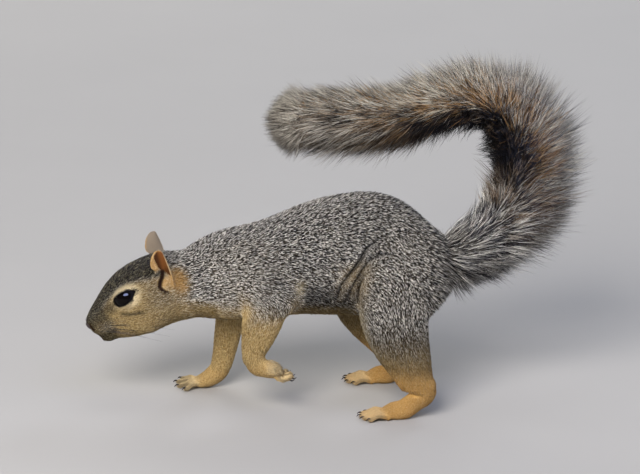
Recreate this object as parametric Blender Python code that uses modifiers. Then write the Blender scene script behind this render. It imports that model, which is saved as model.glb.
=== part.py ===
"""A life-size tree squirrel on all fours, its tail arched over its back, as a still model.

Metres, +Z up. The animal faces -Y, its left side is +X, and the floor is at Z = 0.
The solids reach out to the tips of the coat. The body is modelled whole, as lofts joined by
a voxel remesh, and is then parted into head, neck, trunk, legs and lengths of tail.
"""

import math

import bmesh
import bpy
import numpy as np
from mathutils import Matrix, Vector

MM = 0.001
GAP = 0.3  # left between neighbouring pieces, mm

# ---- driving sizes, mm ----------------------------------------------------------------------
# The long body as upright sections: place along Y, height of the back, of the belly, half width.
TORSO = [
    (-124, 101.0, 50.5, 18.5),
    (-110, 104.5, 56.5, 19.5),
    (-97, 111.0, 59.0, 22.0),
    (-83, 116.0, 58.0, 27.0),
    (-69, 120.5, 58.0, 30.0),
    (-52, 127.0, 59.5, 31.0),
    (-34, 135.0, 61.5, 31.5),
    (-17, 141.0, 61.5, 32.5),
    (0, 144.0, 61.0, 34.0),
    (16, 144.5, 60.0, 35.0),
    (30, 141.5, 59.5, 34.5),
    (42, 135.0, 60.0, 32.0),
    (52, 126.5, 62.5, 28.5),
    (62, 117.5, 66.0, 24.0),
    (72, 111.0, 70.0, 19.5),
]
TORSO_EGG = 0.10  # how much narrower the back is than the belly

# The head in its own axes, from the pivot at the top of the neck: nose towards -Y.
HEAD_PIVOT = (0.0, -118.0, 88.0)
HEAD_PITCH = 25.0  # degrees, nose down
HEAD = [
    (-61.5, -4.5, -13.5, 3.8),
    (-59.0, -2.2, -18.0, 6.2),
    (-55.0, 1.0, -21.5, 8.0),
    (-49.0, 5.6, -25.0, 10.0),
    (-42.0, 10.6, -28.0, 12.8),
    (-35.0, 14.4, -30.0, 15.8),
    (-27.0, 17.0, -31.2, 18.4),
    (-18.0, 18.2, -31.3, 20.4),
    (-8.0, 18.2, -30.2, 20.8),
    (2.0, 17.0, -28.4, 20.0),
    (12.0, 13.0, -26.0, 18.0),
]
HEAD_EGG = 0.14
# Forms of the face: name, centre, radii. Those off the middle are made on both sides.
FACE_FORMS = [
    ("cheek", (10.2, -23.0, -17.5), (10.2, 15.0, 11.5)),
    ("eye_surround", (9.8, -32.0, 1.0), (6.8, 10.5, 8.6)),
    ("whisker_pad", (4.6, -53.5, -12.5), (4.8, 7.5, 6.6)),
    ("nose_pad", (0.0, -60.6, -7.6), (3.0, 2.6, 2.8)),
    ("chin", (0.0, -50.0, -22.5), (4.6, 8.5, 4.4)),
    ("ear_root", (14.6, -2.0, 4.0), (6.5, 8.0, 8.5)),
]
EYE = (10.9, -32.0, 1.2)
EYE_RADIUS = 6.8
EYE_FACES = (14, 9)  # round, and from pole to pole

# The ear: a cupped leaf in the head's axes, from its root upwards, open to the side and front.
EAR_ROOT = (15.6, -1.6, -1.5)
EAR_TIP = (20.5, 1.8, 25.0)
EAR_FACING = (0.80, -0.60, 0.0)
EAR_THICK = 1.4
# share of the height, half width, half angle of the cup in degrees
EAR_SHAPE = [
    (0.00, 5.0, 100),
    (0.20, 6.8, 90),
    (0.42, 7.6, 74),
    (0.64, 7.2, 62),
    (0.82, 5.6, 55),
    (0.94, 3.6, 50),
    (1.00, 1.2, 45),
]
EAR_ACROSS = 6  # faces from edge to edge
EAR_STEPS = 1  # and from one row to the next

# Tail: centre of the brush in Y and Z, half its depth in the bend's plane, half its width.
TAIL = [
    (60.0, 88.0, 23.0, 18.0),
    (71.0, 92.0, 22.5, 18.0),
    (86.0, 100.0, 22.0, 19.0),
    (101.0, 109.5, 25.5, 21.0),
    (112.5, 121.5, 30.0, 25.0),
    (122.5, 139.0, 32.5, 28.0),
    (126.5, 158.0, 33.0, 30.0),
    (125.0, 176.5, 33.0, 31.0),
    (119.0, 193.0, 32.5, 31.0),
    (107.0, 205.5, 30.5, 31.0),
    (92.0, 212.5, 26.5, 31.0),
    (74.0, 213.5, 24.0, 30.5),
    (56.0, 208.5, 24.0, 30.0),
    (37.5, 200.0, 24.5, 29.5),
    (19.0, 194.5, 24.5, 29.0),
    (0.5, 193.0, 25.0, 28.0),
    (-18.5, 193.0, 25.0, 26.5),
    (-34.5, 193.5, 22.5, 23.0),
    (-46.0, 194.0, 18.5, 18.5),
    (-53.0, 194.5, 13.5, 13.5),
]

TAIL_TIP_DOME = 0.6  # how far the tip's dome reaches, in its own radii

# Limbs: X, Y, Z of the middle, half depth in the leg's plane, half width. Left is +X.
LEFT_UPPER_ARM = [
    (12, -80, 106, 15, 6),
    (19, -72, 97, 19, 9),
    (26, -60, 87, 17, 10),
    (29.5, -49, 79.5, 12.5, 9),
    (30, -44.5, 76.5, 9.5, 8),
]
LEFT_FOREARM = [
    (29.5, -48, 79, 11, 8.5),
    (29, -56.5, 68.5, 14.5, 8.6),
    (28.5, -60, 54.5, 12, 7.8),
    (27.5, -62.5, 44, 9, 6.8),
    (27, -62.5, 38, 7.8, 6.4),
    (27, -61.5, 34, 7.2, 6.2),
]
RIGHT_UPPER_ARM = [
    (-12, -84, 106, 15, 6),
    (-19, -79, 96, 17, 9),
    (-24, -75, 84, 15, 10),
    (-24.5, -71, 70, 12, 9),
]
RIGHT_FOREARM = [
    (-24, -70.5, 76, 12, 9),
    (-25, -71, 60, 11.5, 8.2),
    (-26, -73, 44, 10, 7.5),
    (-27, -75, 28, 8.6, 6.8),
    (-28, -77, 15, 7.4, 6.4),
    (-28, -78, 10, 7, 6.4),
]
LEFT_HIND = [
    (10, 46, 118, 18, 8),
    (19, 42, 107, 26, 12),
    (26, 36.5, 94, 30, 15),
    (30.5, 30.5, 78, 26.5, 15),
    (32, 30, 66, 23.5, 13.5),
    (33.5, 33.5, 53, 20.5, 12),
    (35, 38.5, 41, 17, 10.5),
    (36, 43, 30, 13.6, 9),
    (36, 47, 20.5, 11, 8),
    (36, 49.5, 13, 9.5, 7.5),
]
RIGHT_HIND = [
    (-10, 46, 118, 18, 8),
    (-19, 37, 105, 25, 12),
    (-26, 27, 91, 28, 15),
    (-31, 16, 74, 24, 15),
    (-32.5, 15, 61, 19.5, 13.5),
    (-34, 21, 48, 16.5, 12),
    (-35, 29.5, 36, 13.5, 10),
    (-36, 38, 26, 11.5, 8.5),
    (-36, 45, 18, 10, 8),
    (-36, 49, 12.5, 9, 7.5),
]
LIMBS = {
    "left_upper_arm": LEFT_UPPER_ARM,
    "left_forearm": LEFT_FOREARM,
    "right_upper_arm": RIGHT_UPPER_ARM,
    "right_forearm": RIGHT_FOREARM,
    "left_hind": LEFT_HIND,
    "right_hind": RIGHT_HIND,
}

# The feet, from the ankle to the roots of the toes. X is taken from the foot's own middle.
HIND_FOOT = [
    (0, 49, 23, 10.4, 8.0),
    (0, 49.5, 17, 9.4, 7.3),
    (0, 45, 11.6, 7.4, 6.8),
    (0, 38, 6.4, 7.1, 7.0),
    (0, 31, 5.5, 6.5, 7.6),
    (0, 24, 4.5, 5.5, 8.0),
]
HIND_FOOT_X = 36.0
HIND_FOOT_OUT = 2.0  # degrees that the toes turn out, about the heel
HEEL_Y = 52.0
RIGHT_HAND = [
    (0, -76.3, 17, 7.6, 6.6),
    (0, -79, 11.5, 7.2, 6.6),
    (0, -83.5, 7.2, 6.8, 7.0),
    (0.3, -89, 4.9, 5.9, 7.8),
    (0.6, -94, 3.9, 4.9, 8.2),
]
RIGHT_HAND_X = -28.5
LEFT_HAND = [
    (0, -62.3, 39, 7.8, 6.5),
    (0, -59.5, 34, 7.2, 6.8),
    (0, -54.5, 31.8, 6.6, 7.4),
    (0, -49, 30.4, 6.2, 7.6),
    (0, -44.5, 28.8, 5.0, 7.2),
]
LEFT_HAND_X = 27.0

# Digits, inner to outer: place across the foot, spread in degrees, length to the claw's root.
HIND_TOES = [(-6.2, -12, 8.0), (-3.3, -6, 12.0), (0.0, 0, 13.0), (3.4, 6, 12.0), (6.3, 13, 8.5)]
HIND_TOE_ROOT = (0.0, 23.0, 2.8)
HAND_TOES = [(-5.2, -32, 9.5), (-1.9, -10, 12.0), (1.7, 12, 12.0), (5.0, 32, 10.0)]
RIGHT_TOE_ROOT = (0.6, -93.0, 2.7)
LEFT_TOE_ROOT = (0.0, -46.0, 27.6)
LEFT_TOES_TURN = 170.0  # degrees about X: the lifted hand trails with its palm up
LEFT_TOES_CURL = 0.7  # their reach beside the spread toes of the other hand
TOE_RADIUS = 2.4
# Along a toe: share of its length, rise over its root.
TOE_LINE = [(-0.25, 0.0), (0.15, 1.2), (0.5, 1.0), (1.0, -0.9)]
TOE_TAPER = 0.14
CLAW_LENGTH = 4.2
CLAW_RADIUS = 0.9
# Along a claw: share of its length, rise, share of its radius.
CLAW_LINE = [(0.0, 0.0, 1.0), (0.45, 0.2, 0.85), (0.8, -0.3, 0.65), (1.0, -0.9, 0.5)]

# Where the pieces part. Cuts are GAP wide: place in Y and Z, lean in degrees, half height.
HEAD_CUT = (0.0, 4.0, -6.0)  # its middle, in the head's own axes
NECK_CUT = (-100.0, 84.0, 20.0)
TAIL_CUTS = [0.088, 0.30, 0.49, 0.68, 0.85]  # shares of the tail's rows
TAIL_NAMES = ["tail_base", "tail_rise", "tail_bend", "tail_arch", "tail_tip"]
CUT_REACH = 36.0
TAIL_CUT_REACH = 42.0
# A place (Y, Z) inside each of the pieces that the cuts part ahead of the tail.
SEEDS = {"head": (-145, 72), "neck": (-108, 80), "trunk": (-5, 95)}
ANKLE_HEIGHT = 19.0
RIGHT_WRIST_HEIGHT = 14.0
LEFT_WRIST_HEIGHT = 36.0
# A leg is what lies in the hull of these circles (Y, Z, radius), outside of LEG_INNER.
LEG_INNER = 14.0
LEG_OUTER = 60.0
ROOM_SIDES = 12
LEG_ROOMS = {
    "foreleg_left": [(-74, 100, 23), (-53, 84, 21), (-47, 76, 15), (-62, 46, 15), (-61, 30, 13)],
    "foreleg_right": [(-77, 99, 21), (-71, 70, 17), (-73, 44, 15), (-77, 12, 12)],
    "hindleg_left": [(37, 92, 34), (30, 72, 29), (34, 50, 24), (49, 12, 14)],
    "hindleg_right": [(33, 92, 34), (16, 70, 28), (20, 50, 22), (49, 12, 14)],
}
LEG_ENDS = {
    "foreleg_left": LEFT_WRIST_HEIGHT,
    "foreleg_right": RIGHT_WRIST_HEIGHT,
    "hindleg_left": ANKLE_HEIGHT,
    "hindleg_right": ANKLE_HEIGHT,
}

# ---- meshing --------------------------------------------------------------------------------
BODY_VOXEL = 1.1
FOOT_VOXEL = 0.5
BODY_TRIANGLES = 3700
FOOT_TRIANGLES = 410
BODY_SOFTENING = 24
FOOT_SOFTENING = 2
LOFT_SIDES = 32
LOFT_STEPS = 6

MATERIALS = {
    "grey_coat": ((0.30, 0.28, 0.25), 0.75),
    "tail_coat": ((0.33, 0.28, 0.22), 0.80),
    "head_coat": ((0.38, 0.29, 0.18), 0.75),
    "tawny_coat": ((0.55, 0.36, 0.16), 0.75),
    "ear_coat": ((0.52, 0.31, 0.15), 0.70),
    "eye": ((0.012, 0.009, 0.008), 0.08),
}

# Which coat a node has, by how its name starts. The rest is grey.
COATS = [
    ("tail", "tail_coat"),
    ("head", "head_coat"),
    ("ear", "ear_coat"),
    ("eye", "eye"),
    ("hindfoot", "tawny_coat"),
    ("forepaw", "tawny_coat"),
]


def clear_scene():
    for obj in list(bpy.data.objects):
        bpy.data.objects.remove(obj)


def collection(name):
    made = bpy.data.collections.new(name)
    bpy.context.scene.collection.children.link(made)
    return made


def materials():
    made = {}
    for name, (colour, roughness) in MATERIALS.items():
        material = bpy.data.materials.new(name)
        material.use_nodes = True
        shader = material.node_tree.nodes["Principled BSDF"]
        shader.inputs["Base Color"].default_value = (*colour, 1.0)
        shader.inputs["Roughness"].default_value = roughness
        shader.inputs["Metallic"].default_value = 0.0
        made[name] = material
    return made


# ---- lofts ----------------------------------------------------------------------------------
def through(rows, steps):
    """Rows of numbers along a smooth curve through the given ones (Catmull-Rom)."""
    keys = np.array(rows, float)
    ends = np.vstack([2 * keys[0] - keys[1], keys, 2 * keys[-1] - keys[-2]])
    out = []
    for i in range(len(keys) - 1):
        a, b, c, d = ends[i : i + 4]
        for t in np.arange(steps) / steps:
            line = 2 * b + (c - a) * t
            bend = (2 * a - 5 * b + 4 * c - d) * t**2 + (3 * b - a - 3 * c + d) * t**3
            out.append((line + bend) / 2)
    out.append(keys[-1])
    return np.array(out)


def mesh_object(name, vertices, faces, home):
    mesh = bpy.data.meshes.new(name)
    mesh.from_pydata([tuple(v) for v in vertices], [], faces)
    work = bmesh.new()
    work.from_mesh(mesh)
    bmesh.ops.recalc_face_normals(work, faces=work.faces)
    work.to_mesh(mesh)
    work.free()
    obj = bpy.data.objects.new(name, mesh)
    home.objects.link(obj)
    return obj


def loft(name, rings, home):
    """A closed skin over rings of equally many points, with flat ends."""
    sides = len(rings[0])
    vertices = [p * MM for ring in rings for p in ring]
    faces = []
    for r in range(len(rings) - 1):
        for s in range(sides):
            n = (s + 1) % sides
            low, high = r * sides, (r + 1) * sides
            faces.append((low + s, low + n, high + n, high + s))
    last = (len(rings) - 1) * sides
    faces.append(tuple(range(sides)))
    faces.append(tuple(range(last, last + sides)))
    return mesh_object(name, vertices, faces, home)


def ellipse(centre, side, up, half_side, half_up, egg=0.0, sides=LOFT_SIDES):
    turn = np.arange(sides) * 2 * math.pi / sides
    across = half_side * np.cos(turn) * (1 - egg * np.sin(turn))
    return centre + np.outer(across, side) + np.outer(half_up * np.sin(turn), up)


def upright_loft(name, rows, egg, home):
    """A loft of upright sections: place along Y, top, bottom, half width."""
    side, up = np.array((1.0, 0, 0)), np.array((0, 0, 1.0))
    rings = []
    for y, top, bottom, half in through(rows, LOFT_STEPS):
        centre = np.array((0, y, (top + bottom) / 2))
        rings.append(ellipse(centre, side, up, half, (top - bottom) / 2, egg))
    return loft(name, rings, home)


def frames(path):
    """Tangent, side and up at each point of a path. Side stays near the animal's own X."""
    tangents = np.gradient(path, axis=0)
    tangents /= np.linalg.norm(tangents, axis=1)[:, None]
    x = np.array((1.0, 0, 0))
    sides = x - tangents * (tangents @ x)[:, None]
    sides /= np.linalg.norm(sides, axis=1)[:, None]
    return tangents, sides, np.cross(sides, tangents)


def path_loft(name, rows, home, sides=LOFT_SIDES, steps=LOFT_STEPS, dome=1.0):
    """A loft along a path with domed ends: X, Y, Z, half depth, half width."""
    keys = through(rows, steps)
    path, depth, width = keys[:, :3], keys[:, 3], keys[:, 4]
    tangents, across, up = frames(path)
    rings = []
    for i in range(len(path)):
        rings.append(ellipse(path[i], across[i], up[i], width[i], depth[i], sides=sides))
    for end, way in ((0, -1), (-1, 1)):
        reach = dome * min(depth[end], width[end])
        domes = []
        for angle in np.radians((30, 55, 75)):
            centre = path[end] + way * tangents[end] * reach * math.sin(angle)
            size = math.cos(angle)
            domes.append(
                ellipse(centre, across[end], up[end], width[end] * size, depth[end] * size, sides=sides)
            )
        rings = domes[::-1] + rings if end == 0 else rings + domes
    return loft(name, rings, home)


def ball(name, centre, radii, home, segments=24, rings=16):
    mesh = bpy.data.meshes.new(name)
    work = bmesh.new()
    bmesh.ops.create_uvsphere(work, u_segments=segments, v_segments=rings, radius=1.0)
    bmesh.ops.scale(work, vec=Vector(radii) * MM, verts=work.verts)
    bmesh.ops.translate(work, vec=Vector(centre) * MM, verts=work.verts)
    work.to_mesh(mesh)
    work.free()
    obj = bpy.data.objects.new(name, mesh)
    home.objects.link(obj)
    return obj


# ---- joining, cutting -----------------------------------------------------------------------
def evaluated(obj):
    """The object's mesh with its modifiers applied and its place worked in."""
    bpy.context.view_layer.update()
    graph = bpy.context.evaluated_depsgraph_get()
    mesh = bpy.data.meshes.new_from_object(obj.evaluated_get(graph))
    mesh.transform(obj.matrix_world)
    return mesh


def joined(name, pieces, home):
    """One object that holds several pieces' meshes. The pieces are removed."""
    work = bmesh.new()
    for piece in pieces:
        work.from_mesh(evaluated(piece))
        bpy.data.objects.remove(piece)
    mesh = bpy.data.meshes.new(name)
    work.to_mesh(mesh)
    work.free()
    obj = bpy.data.objects.new(name, mesh)
    home.objects.link(obj)
    return obj


def baked(obj):
    """Replaces the object's mesh by its evaluated one, and clears its modifiers."""
    mesh = evaluated(obj)
    obj.modifiers.clear()
    obj.matrix_world = Matrix.Identity(4)
    obj.data = mesh
    return obj


def fused(obj, voxel, smoothing, triangles):
    """Overlapping closed shapes made one soft body of about that many triangles."""
    remesh = obj.modifiers.new("fuse", "REMESH")
    remesh.mode = "VOXEL"
    remesh.voxel_size = voxel * MM
    soften = obj.modifiers.new("soften", "SMOOTH")
    soften.factor = 0.5
    soften.iterations = smoothing
    baked(obj)
    quads = len(obj.data.polygons)
    obj.modifiers.new("split", "TRIANGULATE")
    fewer = obj.modifiers.new("fewer", "DECIMATE")
    fewer.ratio = min(1.0, triangles / (2 * quads))
    return baked(obj)


def loose_bodies(work):
    """The sets of vertices that hang together."""
    left, found = set(work.verts), []
    while left:
        seed = left.pop()
        island, edge = {seed}, [seed]
        while edge:
            for link in edge.pop().link_edges:
                for vertex in link.verts:
                    if vertex in left:
                        left.remove(vertex)
                        island.add(vertex)
                        edge.append(vertex)
        found.append(island)
    return found


def largest_island(obj):
    """Drops every loose scrap but the largest."""
    work = bmesh.new()
    work.from_mesh(obj.data)
    keep = max(loose_bodies(work), key=len)
    indices = {v.index for v in keep}
    work.free()
    keep_only(obj.data, indices)
    return obj


def keep_only(mesh, indices):
    """Deletes every vertex but those."""
    work = bmesh.new()
    work.from_mesh(mesh)
    bmesh.ops.delete(work, geom=[v for v in work.verts if v.index not in indices], context="VERTS")
    work.to_mesh(mesh)
    work.free()


def carved(name, source, keep, remove, home):
    """A copy of source: the part inside every keeper and outside every remover."""
    obj = bpy.data.objects.new(name, source.data.copy())
    home.objects.link(obj)
    for tool, operation in [(k, "INTERSECT") for k in keep] + [(r, "DIFFERENCE") for r in remove]:
        cut = obj.modifiers.new(tool.name, "BOOLEAN")
        cut.operation = operation
        cut.object = tool
    return largest_island(baked(obj))


def cutter(obj):
    obj.hide_render = True
    obj.display_type = "WIRE"
    return obj


def box(name, low, high, home, tilt=0.0, pivot=(0, 0, 0)):
    """A box from corner to corner about a pivot, leaning about X by tilt degrees."""
    mesh = bpy.data.meshes.new(name)
    work = bmesh.new()
    bmesh.ops.create_cube(work, size=1.0)
    size = Vector(high) - Vector(low)
    bmesh.ops.scale(work, vec=size * MM, verts=work.verts)
    bmesh.ops.translate(work, vec=(Vector(low) + size / 2) * MM, verts=work.verts)
    bmesh.ops.rotate(work, matrix=Matrix.Rotation(math.radians(tilt), 3, "X"), verts=work.verts)
    bmesh.ops.translate(work, vec=Vector(pivot) * MM, verts=work.verts)
    work.to_mesh(mesh)
    work.free()
    obj = bpy.data.objects.new(name, mesh)
    home.objects.link(obj)
    return cutter(obj)


def hull_prism(name, circles, x_from, x_to, home, grow=0.0):
    """The hull of circles (Y, Z, radius), run across from one X to another."""
    work = bmesh.new()
    near, far = sorted((x_from, x_to), key=abs)
    near -= math.copysign(grow, far)
    for y, z, radius in circles:
        for angle in np.arange(ROOM_SIDES) * 2 * math.pi / ROOM_SIDES:
            reach = radius + grow
            for x in (near, far):
                spot = (x, y + reach * math.cos(angle), z + reach * math.sin(angle))
                work.verts.new(Vector(spot) * MM)
    made = bmesh.ops.convex_hull(work, input=work.verts)
    inside = [v for v in made["geom_interior"] if isinstance(v, bmesh.types.BMVert)]
    bmesh.ops.delete(work, geom=inside, context="VERTS")
    bmesh.ops.recalc_face_normals(work, faces=work.faces)
    mesh = bpy.data.meshes.new(name)
    work.to_mesh(mesh)
    work.free()
    obj = bpy.data.objects.new(name, mesh)
    home.objects.link(obj)
    return cutter(obj)


# ---- the animal -----------------------------------------------------------------------------
def head_matrix():
    turn = Matrix.Rotation(math.radians(HEAD_PITCH), 4, "X")
    return Matrix.Translation(Vector(HEAD_PIVOT) * MM) @ turn


def mirrored(place, side):
    return (place[0] * side, place[1], place[2])


def head_shapes(home):
    """The head's loft and the forms of the face, in the head's own axes, then set in place."""
    pieces = [upright_loft("head_form", HEAD, HEAD_EGG, home)]
    for name, centre, radii in FACE_FORMS:
        for side in (1, -1) if centre[0] else (1,):
            pieces.append(ball(name, mirrored(centre, side), radii, home))
    for piece in pieces:
        piece.data.transform(head_matrix())
    return pieces


def tail_rows():
    return [(0.0, y, z, depth, width) for y, z, depth, width in TAIL]


def body(home):
    """Everything but the feet, ears and eyes, as one body."""
    shapes = [upright_loft("torso", TORSO, TORSO_EGG, home)]
    shapes += head_shapes(home)
    shapes.append(path_loft("tail", tail_rows(), home, dome=TAIL_TIP_DOME))
    for name, rows in LIMBS.items():
        shapes.append(path_loft(name, rows, home))
    return fused(joined("body", shapes, home), BODY_VOXEL, BODY_SOFTENING, BODY_TRIANGLES)


def digit(name, length, home):
    """A toe from the origin towards -Y, arched over its knuckle, with its claw."""
    rows = []
    for share, rise in TOE_LINE:
        size = TOE_RADIUS * (1 - TOE_TAPER * max(share, 0))
        rows.append((0, -length * share, rise, size, size))
    claw = []
    for share, rise, size in CLAW_LINE:
        reach = length + TOE_RADIUS / 2 + CLAW_LENGTH * share
        claw.append((0, -reach, rise, CLAW_RADIUS * size, CLAW_RADIUS * size))
    toe = path_loft(name, rows, home, sides=14, steps=3)
    return [toe, path_loft(name + "_claw", claw, home, sides=10, steps=3)]


def digits(name, toes, root, side, home, turn=0.0, curl=1.0):
    pieces = []
    for number, (across, spread, length) in enumerate(toes, 1):
        fan = Matrix.Rotation(math.radians(spread * side * curl), 4, "Z")
        tip_over = Matrix.Rotation(math.radians(turn), 4, "X")
        place = Vector((root[0] * side + across * side, root[1], root[2])) * MM
        for piece in digit(f"{name}_{number}", length * curl, home):
            piece.data.transform(Matrix.Translation(place) @ tip_over @ fan)
            pieces.append(piece)
    return pieces


def foot(name, rows, toes, x, heel_y, turned_out, top, home, cutters):
    """A foot with its toes at X, flat where it meets the floor, cut level at the joint."""
    side = math.copysign(1, x)
    mirrored_rows = [(row[0] * side, *row[1:]) for row in rows]
    solid = joined(name + "_form", [path_loft("sole", mirrored_rows, home)] + toes, home)
    heel = Matrix.Translation(Vector((0, heel_y, 0)) * MM)
    turn = Matrix.Rotation(math.radians(turned_out * side), 4, "Z")
    aside = Matrix.Translation(Vector((x, 0, 0)) * MM)
    solid.data.transform(aside @ heel @ turn @ heel.inverted())
    fused(solid, FOOT_VOXEL, FOOT_SOFTENING, FOOT_TRIANGLES)
    low, high = (x - 40, heel_y - 80, 0), (x + 40, heel_y + 40, top - GAP)
    carved(name, solid, [box(name + "_room", low, high, cutters)], [], home)
    bpy.data.objects.remove(solid)


def feet(home, cutters):
    for side, word in ((1, "left"), (-1, "right")):
        name, x = "hindfoot_" + word, side * HIND_FOOT_X
        toes = digits(name, HIND_TOES, HIND_TOE_ROOT, side, home)
        foot(name, HIND_FOOT, toes, x, HEEL_Y, HIND_FOOT_OUT, ANKLE_HEIGHT, home, cutters)
    name, wrist_y = "forepaw_right", RIGHT_HAND[0][1]
    toes = digits(name, HAND_TOES, RIGHT_TOE_ROOT, -1, home)
    foot(name, RIGHT_HAND, toes, RIGHT_HAND_X, wrist_y, 0, RIGHT_WRIST_HEIGHT, home, cutters)
    name, wrist_y = "forepaw_left", LEFT_HAND[0][1]
    toes = digits(name, HAND_TOES, LEFT_TOE_ROOT, 1, home, LEFT_TOES_TURN, LEFT_TOES_CURL)
    foot(name, LEFT_HAND, toes, LEFT_HAND_X, wrist_y, 0, LEFT_WRIST_HEIGHT, home, cutters)


def ear(name, side, head, home):
    """A cupped leaf with rounded tip, trimmed where it would enter the head."""
    root, tip = np.array(EAR_ROOT), np.array(EAR_TIP)
    axis = (tip - root) / np.linalg.norm(tip - root)
    facing = np.array(EAR_FACING) - axis * np.dot(EAR_FACING, axis)
    facing /= np.linalg.norm(facing)
    across = np.cross(axis, facing)
    vertices, faces = [], []
    rows = through(EAR_SHAPE, EAR_STEPS)
    for share, half, cup in rows:
        turn = math.radians(cup)
        bend = half / math.sin(turn) if cup < 90 else half
        for s in range(EAR_ACROSS + 1):
            at = turn * (2 * s / EAR_ACROSS - 1)
            spot = root + (tip - root) * share
            spot = spot + across * bend * math.sin(at) + facing * bend * (1 - math.cos(at))
            vertices.append(spot * MM * np.array((side, 1, 1)))
    for r in range(len(rows) - 1):
        for s in range(EAR_ACROSS):
            low = r * (EAR_ACROSS + 1) + s
            faces.append((low, low + 1, low + EAR_ACROSS + 2, low + EAR_ACROSS + 1))
    leaf = mesh_object(name + "_form", vertices, faces, home)
    leaf.data.transform(head_matrix())
    shell = leaf.modifiers.new("shell", "SOLIDIFY")
    shell.thickness = EAR_THICK * MM
    shell.offset = 0.0
    baked(leaf)
    carved(name, leaf, [], [head], home)
    bpy.data.objects.remove(leaf)


def swollen(name, source, by, cutters):
    """A cutter of the source's shape, larger by that much all round."""
    obj = bpy.data.objects.new(name, source.data.copy())
    cutters.objects.link(obj)
    swell = obj.modifiers.new("swell", "DISPLACE")
    swell.strength = by * MM
    swell.mid_level = 0.0
    return cutter(baked(obj))


def slab(name, y, z, lean, reach, cutters):
    """A thin cutter across the body, leaning forward at the top by that many degrees."""
    low, high = (-LEG_OUTER, -GAP / 2, -reach), (LEG_OUTER, GAP / 2, reach)
    return box(name, low, high, cutters, lean, (0, y, z))


def tail_place(share):
    """The brush's middle and its lean at a share of its rows."""
    rows = through(tail_rows(), 12)
    at = int(share * (len(rows) - 1))
    way = rows[at + 1] - rows[at - 1]
    return rows[at][1], rows[at][2], math.degrees(math.atan2(way[2], way[1]))


def parted(body_solid, home, cutters):
    """Head, neck, trunk with its legs, and the tail's lengths, parted by thin cuts."""
    head = head_matrix() @ (Vector(HEAD_CUT) * MM)
    slabs = [slab("head_cut", head.y / MM, head.z / MM, HEAD_PITCH, CUT_REACH, cutters)]
    slabs.append(slab("neck_cut", *NECK_CUT, CUT_REACH, cutters))
    for number, share in enumerate(TAIL_CUTS, 1):
        slabs.append(slab(f"tail_cut_{number}", *tail_place(share), TAIL_CUT_REACH, cutters))
    for tool in slabs:
        cut = body_solid.modifiers.new(tool.name, "BOOLEAN")
        cut.operation = "DIFFERENCE"
        cut.object = tool
    baked(body_solid)
    seeds = dict(SEEDS)
    middles = [0.5 * (a + b) for a, b in zip(TAIL_CUTS, TAIL_CUTS[1:] + [1.0])]
    for name, share in zip(TAIL_NAMES, middles):
        seeds[name] = tail_place(share)[:2]
    return islands_named(body_solid, seeds, home)


def islands_named(source, seeds, home):
    """Splits a mesh into its loose bodies, each named for the nearest seed (Y, Z)."""
    work = bmesh.new()
    work.from_mesh(source.data)
    found = loose_bodies(work)
    made = {}
    for name, (y, z) in seeds.items():
        seed = Vector((0, y, z)) * MM

        def away(island):
            middle = sum((v.co for v in island), Vector()) / len(island)
            return (middle - seed).length

        nearest = min(found, key=away)
        mesh = source.data.copy()
        made[name] = bpy.data.objects.new(name, mesh)
        home.objects.link(made[name])
        keep_only(mesh, {v.index for v in nearest})
    work.free()
    if len(found) != len(seeds):
        raise ValueError(f"{len(found)} bodies for {len(seeds)} names")
    bpy.data.objects.remove(source)
    return made


def legs(trunk, home, cutters):
    """The four legs carved from the trunk's sides, and the trunk that is left."""
    clearances = []
    for name, circles in LEG_ROOMS.items():
        side = 1 if name.endswith("left") else -1
        inner, outer = side * LEG_INNER, side * LEG_OUTER
        room = hull_prism(name + "_room", circles, inner, outer, cutters)
        above = box(name + "_above", (-90, -200, LEG_ENDS[name]), (90, 200, 200), cutters)
        carved(name, trunk, [room, above], [], home)
        clearances.append(hull_prism(name + "_clear", circles, inner, outer, cutters, grow=GAP))
    carved("trunk", trunk, [], clearances, home)
    bpy.data.objects.remove(trunk)


def squirrel():
    clear_scene()
    paint = materials()
    home, cutters = collection("squirrel"), collection("cutters")
    pieces = parted(body(home), home, cutters)
    for name in ("trunk", "head"):
        pieces[name].name = name + "_whole"
    legs(pieces["trunk"], home, cutters)
    feet(home, cutters)
    head = pieces["head"]
    sockets = []
    for side, word in ((1, "left"), (-1, "right")):
        place = head_matrix() @ (Vector(mirrored(EYE, side)) * MM)
        ball("eye_" + word, place / MM, (EYE_RADIUS,) * 3, home, *EYE_FACES)
        socket = ball("socket_" + word, place / MM, (EYE_RADIUS + GAP,) * 3, cutters, *EYE_FACES)
        sockets.append(cutter(socket))
        clear = swollen("ear_clear_" + word, head, GAP, cutters)
        ear("ear_" + word, side, clear, home)
    carved("head", head, [], sockets, home)
    bpy.data.objects.remove(head)
    finish(home, paint)


def finish(home, paint):
    """Sets the origin under the middle of the animal, smooths the shading and paints."""
    corners = np.array([v.co for obj in home.objects for v in obj.data.vertices])
    low, high = corners.min(axis=0), corners.max(axis=0)
    shift = Matrix.Translation(((-low[0] - high[0]) / 2, (-low[1] - high[1]) / 2, 0))
    for obj in home.objects:
        obj.data.transform(shift)
        obj.data.materials.clear()
        obj.data.materials.append(paint[coat_of(obj.name)])
        obj.data.shade_smooth()
        obj.data.set_sharp_from_angle(angle=math.radians(50))


def coat_of(name):
    for word, slot in COATS:
        if name.startswith(word):
            return slot
    return "grey_coat"


if __name__ == "__main__":
    squirrel()
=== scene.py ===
"""The looks of a life-size squirrel model: skin, eyes, lids, nose, claws, whiskers and coat.

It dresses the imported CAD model, which stays as the frame. Lengths in the tables are millimetres
in the animal's own axes: it faces -Y, its left side is +X, and the floor is at Z = 0.
"""

import math

import bmesh
import bpy
import numpy as np
from bpy.props import FloatProperty, FloatVectorProperty, IntProperty, PointerProperty
from mathutils import Matrix, Vector
from mathutils.bvhtree import BVHTree


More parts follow.
